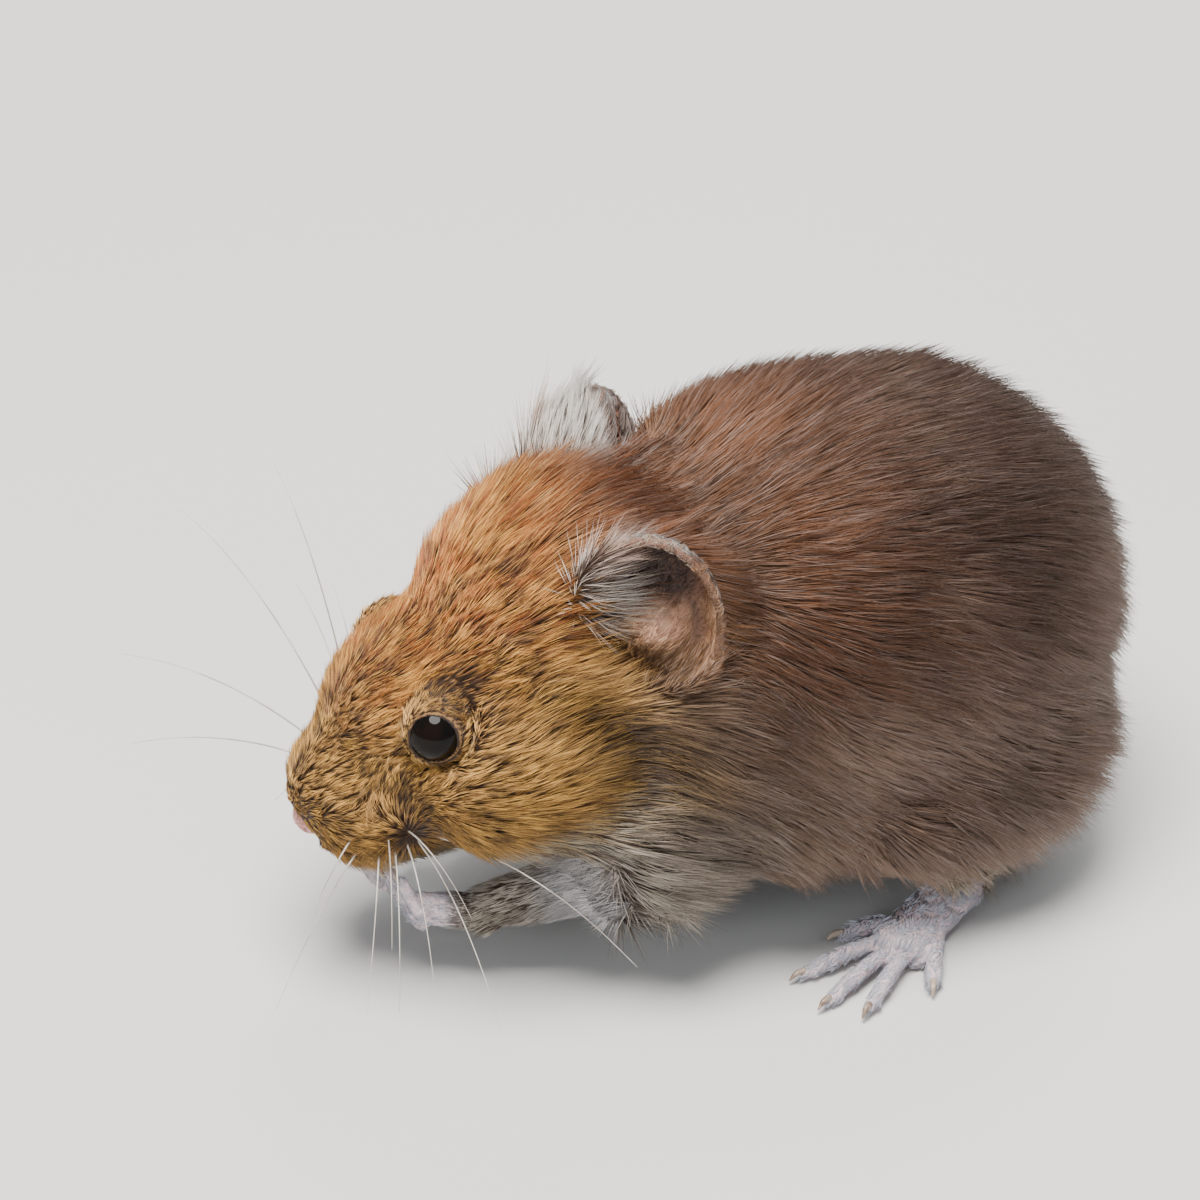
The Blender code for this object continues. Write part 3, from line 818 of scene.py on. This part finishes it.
def coat_material():
    made = plain_material("fur", CHEEK, 0.55, Specular_IOR_Level=0.35)
    tree = made.node_tree
    root = stored(tree, "root", "Vector")
    along, shade, lock = stored(tree, "along"), stored(tree, "shade"), stored(tree, "lock")
    head = head_part(root, 1).ramp(26.0, 18.0)
    fringe = stored(tree, "fringe")
    special = on_fur(tree) * (1.0 - fringe * 0.55)
    # Hair on the ear's inner mound is paler, partly its own colour and partly painted light
    ear = mix(stored(tree, "ear_back"), mix(stored(tree, "lobe_and_light"), EAR_HAIR, EAR_LOBE_AND_LIGHT), EAR_BACK)
    # Painted shade darkens the hair deep in the ear's cup
    ear = mix(stored(tree, "hollow"), ear, EAR_HOLLOW_SHADE)
    colour = part_colour(tree, stored(tree, "coat", "Color"), FOOT_HAIR, ear, tail_colour(root))
    colour = mix(fringe, colour, EAR_FRINGE)
    tufts = special * head
    light = mix(head * head_part(root, 2).ramp(-7.0, -3.5), GREY_TIP, LIGHT_TIP)
    colour = mix(lock.ramp(0.55, 0.9) * tufts * 0.3, colour, light)
    colour = mix(lock.ramp(0.4, 0.1) * tufts * 0.55, colour, DARK_TIP)
    colour = mix(shade.ramp(0.6, 1.0) * (0.25 + special * (0.12 + head * 0.18)), colour, light)
    dark = (shade - head * 0.08).ramp(0.25, 0.0) * (0.15 + special * (0.3 + head * 0.15))
    colour = mix(dark, colour, DARK_TIP)
    deep = (along + head * 0.03).ramp(0.75, 0.25) * (0.25 + special * (0.45 + head * 0.3))
    colour = mix(deep, colour, SLATE)
    bright = along.ramp(0.45, 0.85) * shade.ramp(0.5, 0.8) * special
    colour = mix(bright * (0.24 + head * 0.14), colour, light)
    tip = along.ramp(0.8, 1.0) * shade.ramp(0.45, 0.15) * special
    colour = mix(tip * (0.45 - head * 0.1), colour, DARK_TIP)
    colour = mix(lock.ramp(0.0, 1.0, 0.3, 0.0) * special, colour, SLATE)
    feed(made, "Base Color", colour)
    return made


def skin_material():
    made = plain_material("skin", FOOT_SKIN, 0.6, Specular_IOR_Level=0.4)
    tree = made.node_tree
    where = node(tree, "ShaderNodeTexCoord", {}, {}, "Object")
    lie = stored(tree, "lie", "Vector")
    streaks = where - lie * (lie.dot(where) * 0.93)
    hairs = noise(streaks, 5200.0, 2.0)
    fine = noise(where, 4200.0, 3.0)
    special = on_fur(tree)
    under = mix(hairs.ramp(0.35, 0.7, 0.75, 0.2), markings(where), SLATE)
    # Skin on the ear's inner mound is paler, partly its own colour and partly painted light
    ear = mix(stored(tree, "lobe_and_light"), EAR_SKIN, EAR_LOBE_AND_LIGHT)
    # Painted shade darkens the skin deep in the ear's cup
    ear = mix(stored(tree, "hollow"), ear, EAR_HOLLOW_SHADE)
    colour = part_colour(tree, under, FOOT_SKIN, ear, tail_colour(where))
    colour = mix(fine.ramp(0.35, 0.7, 0.25, 0.0), colour, PAD)
    colour = mix(stored(tree, "lid"), colour, LID)
    feed(made, "Base Color", colour)
    height = hairs * special + fine * (1.0 - special) * 0.6
    feed(made, "Normal", relief_of(height, 0.6, SKIN_RELIEF * MM))
    return made


# The coat


VECTOR = "FLOAT_VECTOR"


class Dress(dict):
    """What the skin's material and the coat's nodes read: one array for each name."""

    def give(self, share, **values):
        """Moves some arrays towards new values, wholly where share is 1."""
        for name, value in values.items():
            self[name] += (value - self[name]) * share

    def grow(self, share, kind, **values):
        """Gives some points one kind of hair."""
        self.give(share, **dict(zip(("length", "density", "width", "lift"), HAIR[kind])), **values)

    def lay(self, chosen, lie, normals):
        """Lays the hair of the chosen points another way."""
        self["lie"][chosen] = along_skin(lie, normals)[chosen]


def along_skin(lie, normals):
    return unit(lie - normals * np.sum(lie * normals, 1)[:, None])


def lie_of_coat(points, normals, head, body, on_trunk):
    """Which way the hair lies at each point of the skin."""
    axes = np.array(HEAD.to_3x3().normalized())
    left, back, up = head.T
    lie = np.stack([0.55 * np.sign(left) * bump(back, 3.0, 7.0), np.ones(len(head)),
                    0.35 * np.sign(up - 1.5) * bump(back, 3.0, 6.0)], 1)
    lie[:, 2] -= 0.5 * step(-up, 0.0, 5.0)
    lie = lie @ axes.T
    for sign in (1, -1):
        for spot, strength, middle, width in ((eye_spot(sign), 2.6, 1.7, 0.75),
                                              ((sign * 4.2, 6.2, -1.4), 1.9, 1.4, 2.6)):
            away = points - np.array(HEAD @ Vector(spot))
            lie += unit(away) * (strength * bump(distance_to(points, spot), middle, width))[:, None]
    across, along, height = body.T
    fall = 0.55 + 0.35 * step(along, 30.0, 46.0)
    trunk = np.stack([np.zeros(len(body)), np.ones(len(body)), -fall], 1)
    low = step(-height, -12.0, -5.0)
    throat = step(-height, -16.0, -10.0) * step(-along, -24.0, -16.0)
    trunk[:, 2] -= 0.9 * low + 1.1 * throat
    trunk[:, 0] += 0.35 * np.sign(across) * low
    return along_skin(lie * (1 - on_trunk)[:, None] + trunk * on_trunk[:, None], normals)


def store(mesh, name, values):
    layer = mesh.attributes.new(name, VECTOR if values.ndim == 2 else "FLOAT", "POINT")
    layer.data.foreach_set("vector" if values.ndim == 2 else "value", values.astype(np.float32).ravel())


def near_nodes(points, *names):
    """Which points lie in the boxes of some nodes."""
    margin = BOX_MARGIN * MM
    found = np.zeros(len(points), bool)
    for name in names:
        low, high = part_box(name)
        found |= np.all((points > np.array(low) - margin) & (points < np.array(high) + margin), axis=1)
    return found


def dress_skin(skin):
    """Stores on the skin what its material and the coat's nodes read."""
    points, normals = points_of(skin.data), normals_of(skin.data)
    head, body = in_frame(points, HEAD), in_frame(points, BODY)
    on_trunk = step(head[:, 1], 14.0, 31.0)
    dress = Dress(lie=lie_of_coat(points, normals, head, body, on_trunk), trunk=on_trunk)
    dress_body(dress, head, body)
    dress_limbs(dress, points, normals, body)
    for side in SIDES:
        dress_ear(dress, points, normals, side)
    for side in SIDES:
        dress_eye(dress, points, side)
    nose = distance_to(points, (0, NOSE_BACK, NOSE_UP))
    dress.give(nose < 2.5, length=0.5)
    dress.give(nose < 1.55, density=0.0)
    height = points[:, 2] / MM
    dress.give(height < 0.15, density=0.0)
    fall = np.maximum(-dress["lie"][:, 2], 0.15)
    dress["length"] = np.minimum(dress["length"], np.maximum(height - 0.2, 0.2) / fall)
    dress["density"] *= 1.0 - 0.45 * step(-normals[:, 2], 0.6, 0.95)
    for name in ("length", "width"):
        dress[name] *= MM
    dress["density"] /= MM ** 2
    for name, values in dress.items():
        store(skin.data, name, values)
    return dress


def dress_body(dress, head, body):
    """Short fine hair on the muzzle that grows longer and coarser towards the trunk."""
    back, low, on_trunk = head[:, 1], step(-head[:, 2], 1.0, 6.0), dress["trunk"]
    length = 1.35 + 0.85 * step(back, 1.0, 12.0) + 1.1 * step(back, 11.0, 22.0)
    length = length + 1.1 * low * step(back, 4.0, 12.0)
    dress["length"] = length * (1 - on_trunk) + (4.0 + 0.6 * step(body[:, 1], 20.0, 36.0)) * on_trunk
    dress["width"] = 0.038 + 0.014 * step(back, 4.0, 14.0)
    dress["lift"] = 0.48 + 0.1 * step(back, 4.0, 12.0) - 0.18 * on_trunk
    density = 58.0 - 14.0 * step(back, 4.0, 12.0) - 8.0 * step(back, 12.0, 20.0)
    dress["density"] = density * (1 - on_trunk) + 23.0 * on_trunk
    for name in ("foot", "ear", "tail", "fringe", "lid", "hollow", "lobe_and_light", "ear_back"):
        dress[name] = np.zeros(len(back))


def dress_limbs(dress, points, normals, body):
    """Thin hair on legs and feet and close hair on the tail, lying along each."""
    past_wrist = [in_frame(points, forepaw_to_world(side))[:, 1] for side in SIDES]
    past_wrist = np.where(body[:, 0] > PAWS_ACROSS, *past_wrist)
    forearms = near_nodes(points, "forearm_left", "forearm_right") & (body[:, 1] < 9.0)
    dress.grow(forearms, "forearm")
    # Away from the wrist the forearm turns to the pale foot colour; nearer the wrist it keeps the darker coat
    # as painted shade under the chin
    dress.give(forearms * step(-past_wrist, 3.5, 7.0), foot=0.6, length=2.0)
    dress.grow(near_nodes(points, "shank_left", "shank_right"), "shank")
    feet = near_nodes(points, *FEET)
    dress.grow(feet, "foot", foot=1.0)
    forepaws = near_nodes(points, "forepaw_left", "forepaw_right")
    dress.grow(forepaws, "forepaw")
    # The wrist keeps mostly the darker coat colour, as painted shade under the chin
    dress.grow(forepaws * (1 - step(past_wrist, -0.4, 1.4)), "wrist", foot=0.1)
    tail = near_nodes(points, "tail_middle", "tail_tip") | (body[:, 1] > 45.5) & (body[:, 2] < 5.5)
    tail &= ~near_nodes(points, "hind_foot_right")
    dress.give((body[:, 1] > 42.0) & (body[:, 2] < 13.0) & ~tail, length=2.2, lift=0.3)
    dress.grow(tail, "tail", tail=1.0)
    dress.lay(forearms, forearm_lie(points), normals)
    dress.lay(feet, foot_lie(points), normals)
    dress.lay(tail, tail_lie(body), normals)


def foot_lie(points):
    """Towards the toes on each foot."""
    lie = np.zeros_like(points)
    for side in SIDES:
        for foot, matrix in (("hind_foot_", hind_foot_to_world(side)), ("forepaw_", forepaw_to_world(side))):
            lie[near_nodes(points, foot + side)] = np.array(matrix.to_3x3().normalized().col[1])
    return lie


def forearm_lie(points):
    """Towards the paw along each forearm."""
    lie = np.zeros_like(points)
    for side in SIDES:
        reach = forepaw_to_world(side).translation - Vector(centre("forearm_" + side))
        lie[near_nodes(points, "forearm_" + side)] = np.array(reach.normalized())
    return lie


def tail_lie(body):
    """Along the tail, which curves round from the rump to beside the head."""
    return unit(np.stack([30.0 - body[:, 1], body[:, 0] + 2.0, np.zeros(len(body))], 1))


def dress_eye(dress, points, side):
    """Short hair round an eye, and none on the edge of its lids."""
    eye = np.array(HEAD @ Vector(eye_spot(SIDES[side])))
    distance = distance_to(points, eye_spot(SIDES[side]))
    dress.give(step(-distance, -3.4, -2.1), length=0.75, width=0.036)
    look = np.array(HEAD.to_3x3().normalized() @ (side_mirror(side).to_3x3() @ EYE_AXIS))
    aside = np.linalg.norm(np.cross(points - eye, look), axis=1) / MM
    near_lid = (distance < 2.15) & ((points - eye) @ look > 0.0)
    dress.give(near_lid & (aside < LID_BARE + 0.08), density=0.0)
    dress.give(near_lid & (aside < LID_BARE), lid=1.0)


def dress_ear(dress, points, normals, side):
    """Short hair over an ear and its rim, painted shade and thin hair in its cup, a paler mound partly painted
    light, long front hair.
    """
    matrix = ear_to_world(side)
    back, tip, out = (np.array(column) for column in matrix.to_3x3().normalized().transposed())
    x, y, z = in_frame(points, matrix).T
    reach = np.sqrt((x / EAR_HALF_WIDTH) ** 2 + (y / EAR_HALF_HEIGHT) ** 2)
    on_ear = (reach < 1.12) & (z < 1.4) & (z > -3.45)
    outward = normals @ out
    inner = on_ear & (outward > 0.05)
    dress.grow(on_ear, "ear", ear=1.0, ear_back=1.0)
    dress.grow(inner, "ear inside", ear_back=0.0)
    # Painted shade: darkest in the top of the cup under the rim, and along a crease behind the mound
    hollow = np.minimum(1.5 * np.exp(-(np.abs(x / 3.0) ** 3 + np.abs((y - 2.5) / 2.3) ** 3)), 1.0)
    crease_shade = 0.7 * np.exp(-((np.hypot(x - 0.3, y + 1.0) - 2.5) / 0.5) ** 2) * step(x, 0.0, 1.4)
    dress["hollow"] += inner * np.maximum(hollow, crease_shade)
    dress.give(inner & (dress["hollow"] > 0.35), density=7.0, length=0.7)
    radial = (x / EAR_HALF_WIDTH)[:, None] * back + (y / EAR_HALF_HEIGHT)[:, None] * tip
    dress.lay(on_ear, tip * 0.9 + back * 0.5 + radial * 0.3, normals)
    # The mound low in the cup: paler, partly its own colour and partly painted light
    dress["lobe_and_light"] += inner * np.exp(-((x - 0.5) / 1.7) ** 2 - ((y + 0.9) / 1.9) ** 2)
    rim = on_ear & (reach > 0.93)
    dress.give(rim, length=0.34, density=44.0, fringe=0.0)
    dress.give(rim & (y > 1.2) & (x < 2.6), fringe=0.3)
    # The back of the rim gets some of the painted shade too
    dress.give(rim * step(x, 1.6, 3.2), hollow=0.45)
    dress.give(on_ear * step(-y, 1.4, 3.4), ear=0.0, length=1.6)
    near = (outward > 0.0) & (z > -5.0) & (z < 1.5) & ~(inner & (x > -2.2))
    front = near * step(x, -7.2, -5.8) * step(-x, 2.2, 3.0) * step(y, -4.2, -2.6) * step(-y, -5.2, -4.0)
    dress.grow(front, "ear front", ear=0.0)
    dress.give(near * step(x, -5.8, -4.4) * step(-x, 2.2, 3.0) * bump(y, 0.3, 2.6), fringe=0.9)
    crest = (outward <= 0.0) & (z > -6.5) & (z < 1.0) & (reach < 1.5)
    crest = crest * step(x, -5.6, -4.4) * step(-x, *CREST_ENDS[side]) * step(y, 0.4, 2.0)
    dress.grow(crest, "ear crest", ear=0.0, fringe=0.9)
    below = near * step(x, -7.4, -6.0) * step(-x, -3.0, -1.8) * step(y, -8.4, -7.0) * step(-y, 3.0, 4.0)
    dress.give(below, ear=0.0, length=3.4, lift=1.0)
    dress.give(np.maximum(front, below)[:, None], lie=along_skin(back * 0.9 + tip * 0.42, normals))
    dress.give(crest[:, None], lie=along_skin(tip + back * 0.25, normals))


def divide(skin, dress):
    """Numbers the skin's faces by coat piece, and tells the pieces' names and how thickly the hairs grow."""
    mesh = skin.data
    points = points_of(mesh)
    head, body = in_frame(points, HEAD), in_frame(points, BODY)
    corners = read(mesh.loops, "vertex_index", kind=np.int32).reshape(-1, 3)
    first = corners[:, 0]
    part = np.select([dress["foot"][first] > 0.5, dress["tail"][first] > 0.5, dress["ear"][first] > 0.5,
                      dress["trunk"][first] > 0.5, head[first, 1] > 11.0], [4, 5, 3, 2, 1], 0)
    triangles = read(mesh.polygons, "area") * dress["density"][corners].mean(1) * TUFT_TRIANGLES
    amount = COAT_TRIANGLES / triangles.sum()
    region = np.zeros(len(part), np.int32)
    pieces = []
    for code, name in enumerate(("face", "head", "trunk", "ears", "feet", "tail")):
        faces = np.nonzero(part == code)[0]
        faces = faces[np.argsort(body[first[faces], 1])]
        share = np.cumsum(triangles[faces]) * amount
        count = int(share[-1] // PIECE_TRIANGLES) + 1
        for k in range(count):
            chosen = faces[(share > share[-1] * k / count) & (share <= share[-1] * (k + 1) / count)]
            region[chosen] = len(pieces)
            pieces.append("coat_" + name + ("_%d" % (k + 1) if count > 1 else ""))
    layer = mesh.attributes.new("region", "INT", "FACE")
    layer.data.foreach_set("value", region)
    return pieces, float(amount), region


def tuft_tree():
    """Geometry nodes: tapering, bent hairs over one region of the skin, drawn together in locks."""
    tree = bpy.data.node_groups.new("coat", "GeometryNodeTree")
    socket = tree.interface.new_socket
    socket("Geometry", in_out="INPUT", socket_type="NodeSocketGeometry")
    for name, kind in TREE_INPUTS.items():
        socket(name, in_out="INPUT", socket_type="NodeSocket" + kind)
    socket("Geometry", in_out="OUTPUT", socket_type="NodeSocketGeometry")
    skin = node(tree, "NodeGroupInput", {}, {}, "Geometry")
    seed, region, steps, amount, head_locks, trunk_locks, lock_pull, clearance, fur = (
        skin.beside(name) for name in TREE_INPUTS)

    def field(name, kind="FLOAT"):
        return node(tree, "GeometryNodeInputNamedAttribute", {"data_type": kind}, {"Name": name})

    def keep(geometry, name, value, kind="FLOAT"):
        return node(tree, "GeometryNodeStoreNamedAttribute", {"data_type": kind, "domain": "POINT"},
                    {"Geometry": geometry, "Name": name, "Value": value})

    def chance(salt, low, high):
        return node(tree, "FunctionNodeRandomValue", {"data_type": "FLOAT"},
                    {2: low, 3: high, "Seed": seed + salt}, 1)

    where = node(tree, "GeometryNodeInputPosition", {}, {})
    same = node(tree, "FunctionNodeCompare", {"data_type": "INT", "operation": "EQUAL"},
                {2: field("region", "INT"), 3: region})
    own = node(tree, "GeometryNodeSeparateGeometry", {"domain": "FACE"}, {"Geometry": skin, "Selection": same})
    scatter = node(tree, "GeometryNodeDistributePointsOnFaces", {"distribute_method": "RANDOM"},
                   {"Mesh": own, "Density": field("density") * amount, "Seed": seed}, "Points")
    points = keep(scatter, "root", where, VECTOR)
    points = keep(points, "normal", scatter.beside("Normal"), VECTOR)
    for salt, (name, low, high) in enumerate(CHANCES, FIRST_SALT):
        points = keep(points, name, chance(salt, low, high))
    scale = head_locks - field("trunk") * (head_locks - trunk_locks)
    cell = node(tree, "ShaderNodeTexVoronoi", {}, {"Vector": where, "Scale": scale}, "Position")
    points = keep(points, "pull", cell - where, VECTOR)
    points = keep(points, "lock", cell.beside("Color").part("X"))
    points = keep(points, "coat", markings(where), "FLOAT_COLOR")

    hair = node(tree, "GeometryNodeMeshCone", {"fill_type": "NGON"},
                {"Vertices": 3, "Side Segments": steps, "Radius Top": 0.0, "Radius Bottom": 1.0,
                 "Depth": 1.0}, "Mesh")
    hair = keep(hair, "local", where, VECTOR)
    spread = node(tree, "GeometryNodeInstanceOnPoints", {}, {"Points": points, "Instance": hair})
    real = node(tree, "GeometryNodeRealizeInstances", {}, {"Geometry": spread})

    local, root = field("local", VECTOR), field("root", VECTOR)
    normal, lie = field("normal", VECTOR).unit(), field("lie", VECTOR).unit()
    along = local.part("Z")
    length = field("length") * field("size")
    lean = lie
    for scale, strength in SWAYS:
        lean = lean + (noise(root, scale, 1.0, "Color") - (0.5, 0.5, 0.5)) * strength
    lean = (lean - normal * lean.dot(normal)).unit()
    aside = normal.cross(lean)
    girth = field("width") * (1.0 + along)
    pull = field("pull", VECTOR)
    pull = pull - normal * pull.dot(normal)
    rise = field("lift") * field("rise") * along * (1.0 - along * 0.55)
    gather = pull * (along * along * lock_pull)
    spine = root + lean * (length * along) + normal * (length * rise) + gather
    spot = spine + aside * (local.part("X") * girth) + normal * (local.part("Y") * girth)
    ground = spot.part("Z").at_least(clearance)
    spot = node(tree, "ShaderNodeCombineXYZ", {}, {"X": spot.part("X"), "Y": spot.part("Y"), "Z": ground})
    moved = node(tree, "GeometryNodeSetPosition", {}, {"Geometry": real, "Position": spot})
    moved = keep(moved, "along", along)
    smooth = node(tree, "GeometryNodeSetShadeSmooth", {}, {"Geometry": moved})
    done = node(tree, "GeometryNodeSetMaterial", {}, {"Geometry": smooth, "Material": fur})
    node(tree, "NodeGroupOutput", {}, {"Geometry": done})
    return tree


def grow_coat(skin, tree, name, settings):
    """A coat piece as a plain mesh."""
    coat = link(name, skin.data)
    growth = coat.modifiers.new("coat", "NODES")
    growth.node_group = tree
    for item in tree.interface.items_tree:
        if item.in_out == "INPUT" and item.name in settings:
            growth[item.identifier] = settings[item.name]
    mesh = evaluated(coat)
    coat.modifiers.clear()
    coat.data = mesh
    return coat


def unwrapped(skin, region, number):
    """Points, corners and map of a thinned copy of the skin under one coat piece."""
    sheet = link("sheet", skin.data.copy())
    bm = bmesh.new()
    bm.from_mesh(sheet.data)
    bm.faces.ensure_lookup_table()
    others = [bm.faces[i] for i in np.nonzero(region != number)[0]]
    bmesh.ops.delete(bm, geom=others, context="FACES")
    bm.to_mesh(sheet.data)
    bm.free()
    decimate(sheet, UNFOLD_FACES / len(sheet.data.polygons))
    bpy.context.view_layer.objects.active = sheet
    bpy.ops.object.mode_set(mode="EDIT")
    bpy.ops.mesh.select_all(action="SELECT")
    bpy.ops.uv.smart_project(angle_limit=radians(60.0), island_margin=0.006)
    bpy.ops.object.mode_set(mode="OBJECT")
    mesh = sheet.data
    corners = np.array([p.vertices[:] for p in mesh.polygons])
    found = points_of(mesh), corners, read(mesh.uv_layers.active.data, "uv", 2).reshape(-1, 3, 2)
    bpy.data.objects.remove(sheet)
    return found


def unfold_coat(coat, skin, region, number):
    """Gives each tuft a small patch of the map OFBake, at its root's place on the unwrapped skin."""
    mesh = coat.data
    places, corners, uv = unwrapped(skin, region, number)
    finder = BVHTree.FromPolygons(places.tolist(), corners.tolist())
    root, local = (read(mesh.attributes[name].data, "vector", 3).astype(float) for name in ("root", "local"))
    size = len(mesh.vertices) // np.count_nonzero(local[:, 2] > 0.999)
    hits = [finder.find_nearest(Vector(spot)) for spot in root[::size]]
    spots = np.array([hit[0] for hit in hits])
    faces = np.array([hit[2] for hit in hits])
    a, b, c = (places[corners[faces, k]] for k in range(3))
    whole = np.linalg.norm(np.cross(b - a, c - a), axis=1)
    shares = [np.linalg.norm(np.cross(first - spots, second - spots), axis=1) / whole
              for first, second in ((b, c), (c, a), (a, b))]
    middles = sum(share[:, None] * uv[faces, k] for k, share in enumerate(shares))
    across = local[:, (0, 2)] * (0.5, 1.0) - (0.0, 0.5)
    patch = np.repeat(middles, size, axis=0) + across * TUFT_PATCH
    loops = read(mesh.loops, "vertex_index", kind=np.int32)
    layer = mesh.uv_layers.new(name="OFBake")
    layer.data.foreach_set("uv", patch[loops].astype(np.float32).ravel())
    for name in SPARE_LAYERS:
        if name in mesh.attributes:
            mesh.attributes.remove(mesh.attributes[name])


# Eyes, nose, whiskers and claws


def smooth_object(name, bm):
    obj = object_of(name, bm)
    obj.data.shade_smooth()
    return obj


def eye_piece(side):
    bm = bmesh.new()
    spot = HEAD @ Vector(eye_spot(SIDES[side]))
    bmesh.ops.create_uvsphere(bm, u_segments=64, v_segments=40, radius=EYE_RADIUS * MM,
                              matrix=Matrix.Translation(spot))
    return smooth_object("eye_" + side + "_ball", bm)


def nose_piece():
    bm = bmesh.new()
    ellipsoid(bm, (0.0, NOSE_BACK, NOSE_UP), (1.42, 1.4, 1.15), HEAD, detail=6)
    obj = smooth_object("nose_pad", bm)
    points, normals = points_of(obj.data), normals_of(obj.data)
    across, back, up = in_frame(points, HEAD).T
    front = 1 - step(back, 0.6, 1.2)
    sink = np.zeros(len(points))
    for sign in (1, -1):
        hole = np.sqrt(((across - sign * 0.68) / 1.25) ** 2 + (up / 0.8) ** 2)
        sink += 0.55 * np.exp(-(hole / 0.26) ** 2) * front
    sink += 0.2 * bump(across, 0.0, 0.1) * front * (1 - step(up, 0.1, 0.5))
    set_points(obj.data, points - normals * sink[:, None] * MM)
    return obj


def claw_piece():
    bm = bmesh.new()
    for side in SIDES:
        for matrix, digits, (height, drop, _, girth) in (
                (hind_foot_to_world(side), HIND_TOES, HIND_DIGITS),
                (curled(forepaw_to_world(side)), FINGERS, FORE_DIGITS)):
            for digit in digits:
                path = digit_path(digit, height, drop)
                along = (path[-1] - path[-2]).normalized()
                start = path[-1] + Vector((0, 0, girth * 0.7))
                stations = ((start, girth), (start + along * girth * 2.2 + Vector((0, 0, 0.06)), girth * 0.8),
                            (start + along * girth * 4.2 - Vector((0, 0, girth * 0.9)), girth * 0.2))
                tube(bm, stations, matrix, sides=8)
    obj = smooth_object("claws", bm)
    rest_on_floor(obj)
    return obj


def whisker_piece():
    bm = bmesh.new()
    for root, end in WHISKERS:
        root, end = Vector(root), Vector(end)
        reach = end - root
        bend = Vector((0.0, 0.05, 0.07)) * reach.length
        inside = root - Vector((copysign(0.8, root.x), -0.3, 0.0))
        stations = [(inside, WHISKER_RADIUS)]
        for k in range(6):
            t = k / 5
            stations.append((root + reach * t + bend * 4 * t * (1 - t), WHISKER_RADIUS * (1.0 - 0.82 * t)))
        tube(bm, stations, HEAD, sides=5)
    return smooth_object("whiskers", bm)


# The stage


def facing(way):
    """The turn of a light or camera that looks along a way."""
    return way.to_track_quat("-Z", "Y").to_euler()


def area_light(name, place, size, power, colour):
    data = bpy.data.lights.new(name, "AREA")
    data.shape = "DISK"
    data.size = size
    data.energy = power
    data.color = colour
    obj = link(name, data)
    obj.location = place
    obj.rotation_euler = facing(Vector(LIT_SPOT) - Vector(place))
    obj.visible_glossy = name == "key"


def make_stage():
    bm = bmesh.new()
    bmesh.ops.create_grid(bm, x_segments=1, y_segments=1, size=FLOOR_HALF,
                          matrix=Matrix.Translation((0, 0, -FLOOR_SINK)))
    floor = object_of("floor", bm)
    floor.data.materials.append(plain_material("floor", FLOOR_COLOUR, 0.75))
    world = bpy.data.worlds.new("studio")
    bpy.context.scene.world = world
    world.use_nodes = True
    background = world.node_tree.nodes["Background"]
    background.inputs["Color"].default_value = (*SKY_COLOUR, 1.0)
    background.inputs["Strength"].default_value = SKY_STRENGTH
    for light in LIGHTS:
        area_light(*light)


def make_camera():
    data = bpy.data.cameras.new("camera")
    obj = link("camera", data)
    azimuth, elevation = radians(CAMERA_AZIMUTH), radians(CAMERA_ELEVATION)
    back = Vector((sin(azimuth) * cos(elevation), -cos(azimuth) * cos(elevation), sin(elevation)))
    obj.location = BODY @ Vector(CAMERA_AIM) + back * CAMERA_DISTANCE
    obj.rotation_euler = facing(-back)
    data.sensor_width = CAMERA_SENSOR
    data.lens = CAMERA_SENSOR * CAMERA_DISTANCE / VIEW_WIDTH
    data.clip_start = 0.01
    bpy.context.scene.camera = obj


def finish_piece(piece, material, slot, *nodes):
    piece.data.materials.clear()
    piece.data.materials.append(material)
    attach(piece, "root")
    if nodes:
        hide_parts(*nodes)


def main():
    make_camera()
    make_stage()
    skin = make_skin()
    dress = dress_skin(skin)
    pieces, amount, region = divide(skin, dress)
    fur = coat_material()
    tree = tuft_tree()
    sizes = {"Steps": TUFT_STEPS, "Amount": amount, "Head Locks": HEAD_LOCKS, "Trunk Locks": TRUNK_LOCKS,
             "Lock Pull": LOCK_PULL, "Clearance": FLOOR_CLEARANCE * MM, "Material": fur}
    for number, name in enumerate(pieces):
        coat = grow_coat(skin, tree, name, {"Seed": FIRST_SEED + number, "Region": number, **sizes})
        unfold_coat(coat, skin, region, number)
        finish_piece(coat, fur, "brown_fur")
    finish_piece(skin, skin_material(), "brown_fur", *FLESH, *LIMBS, *FEET, *EARS)
    glass = grained_material("wet eye", EYE_BLACK, EYE_BROWN, 900.0, 0.03, 0.002, Specular_IOR_Level=0.11)
    for side in SIDES:
        finish_piece(eye_piece(side), glass, "eye", "eye_" + side)
    leather = grained_material("nose leather", NOSE_PINK, NOSE_DARK, 4200.0, 0.38, 0.08)
    finish_piece(nose_piece(), leather, "nose_skin", "nose")
    pale = grained_material("whisker", WHISKER_PALE, WHISKER_DARK, 260.0, 0.3, 0.004)
    finish_piece(whisker_piece(), pale, "pale_fur")
    horn = grained_material("horn", HORN_PALE, HORN_DARK, 1500.0, 0.3, 0.02)
    finish_piece(claw_piece(), horn, "bare_skin")


main()
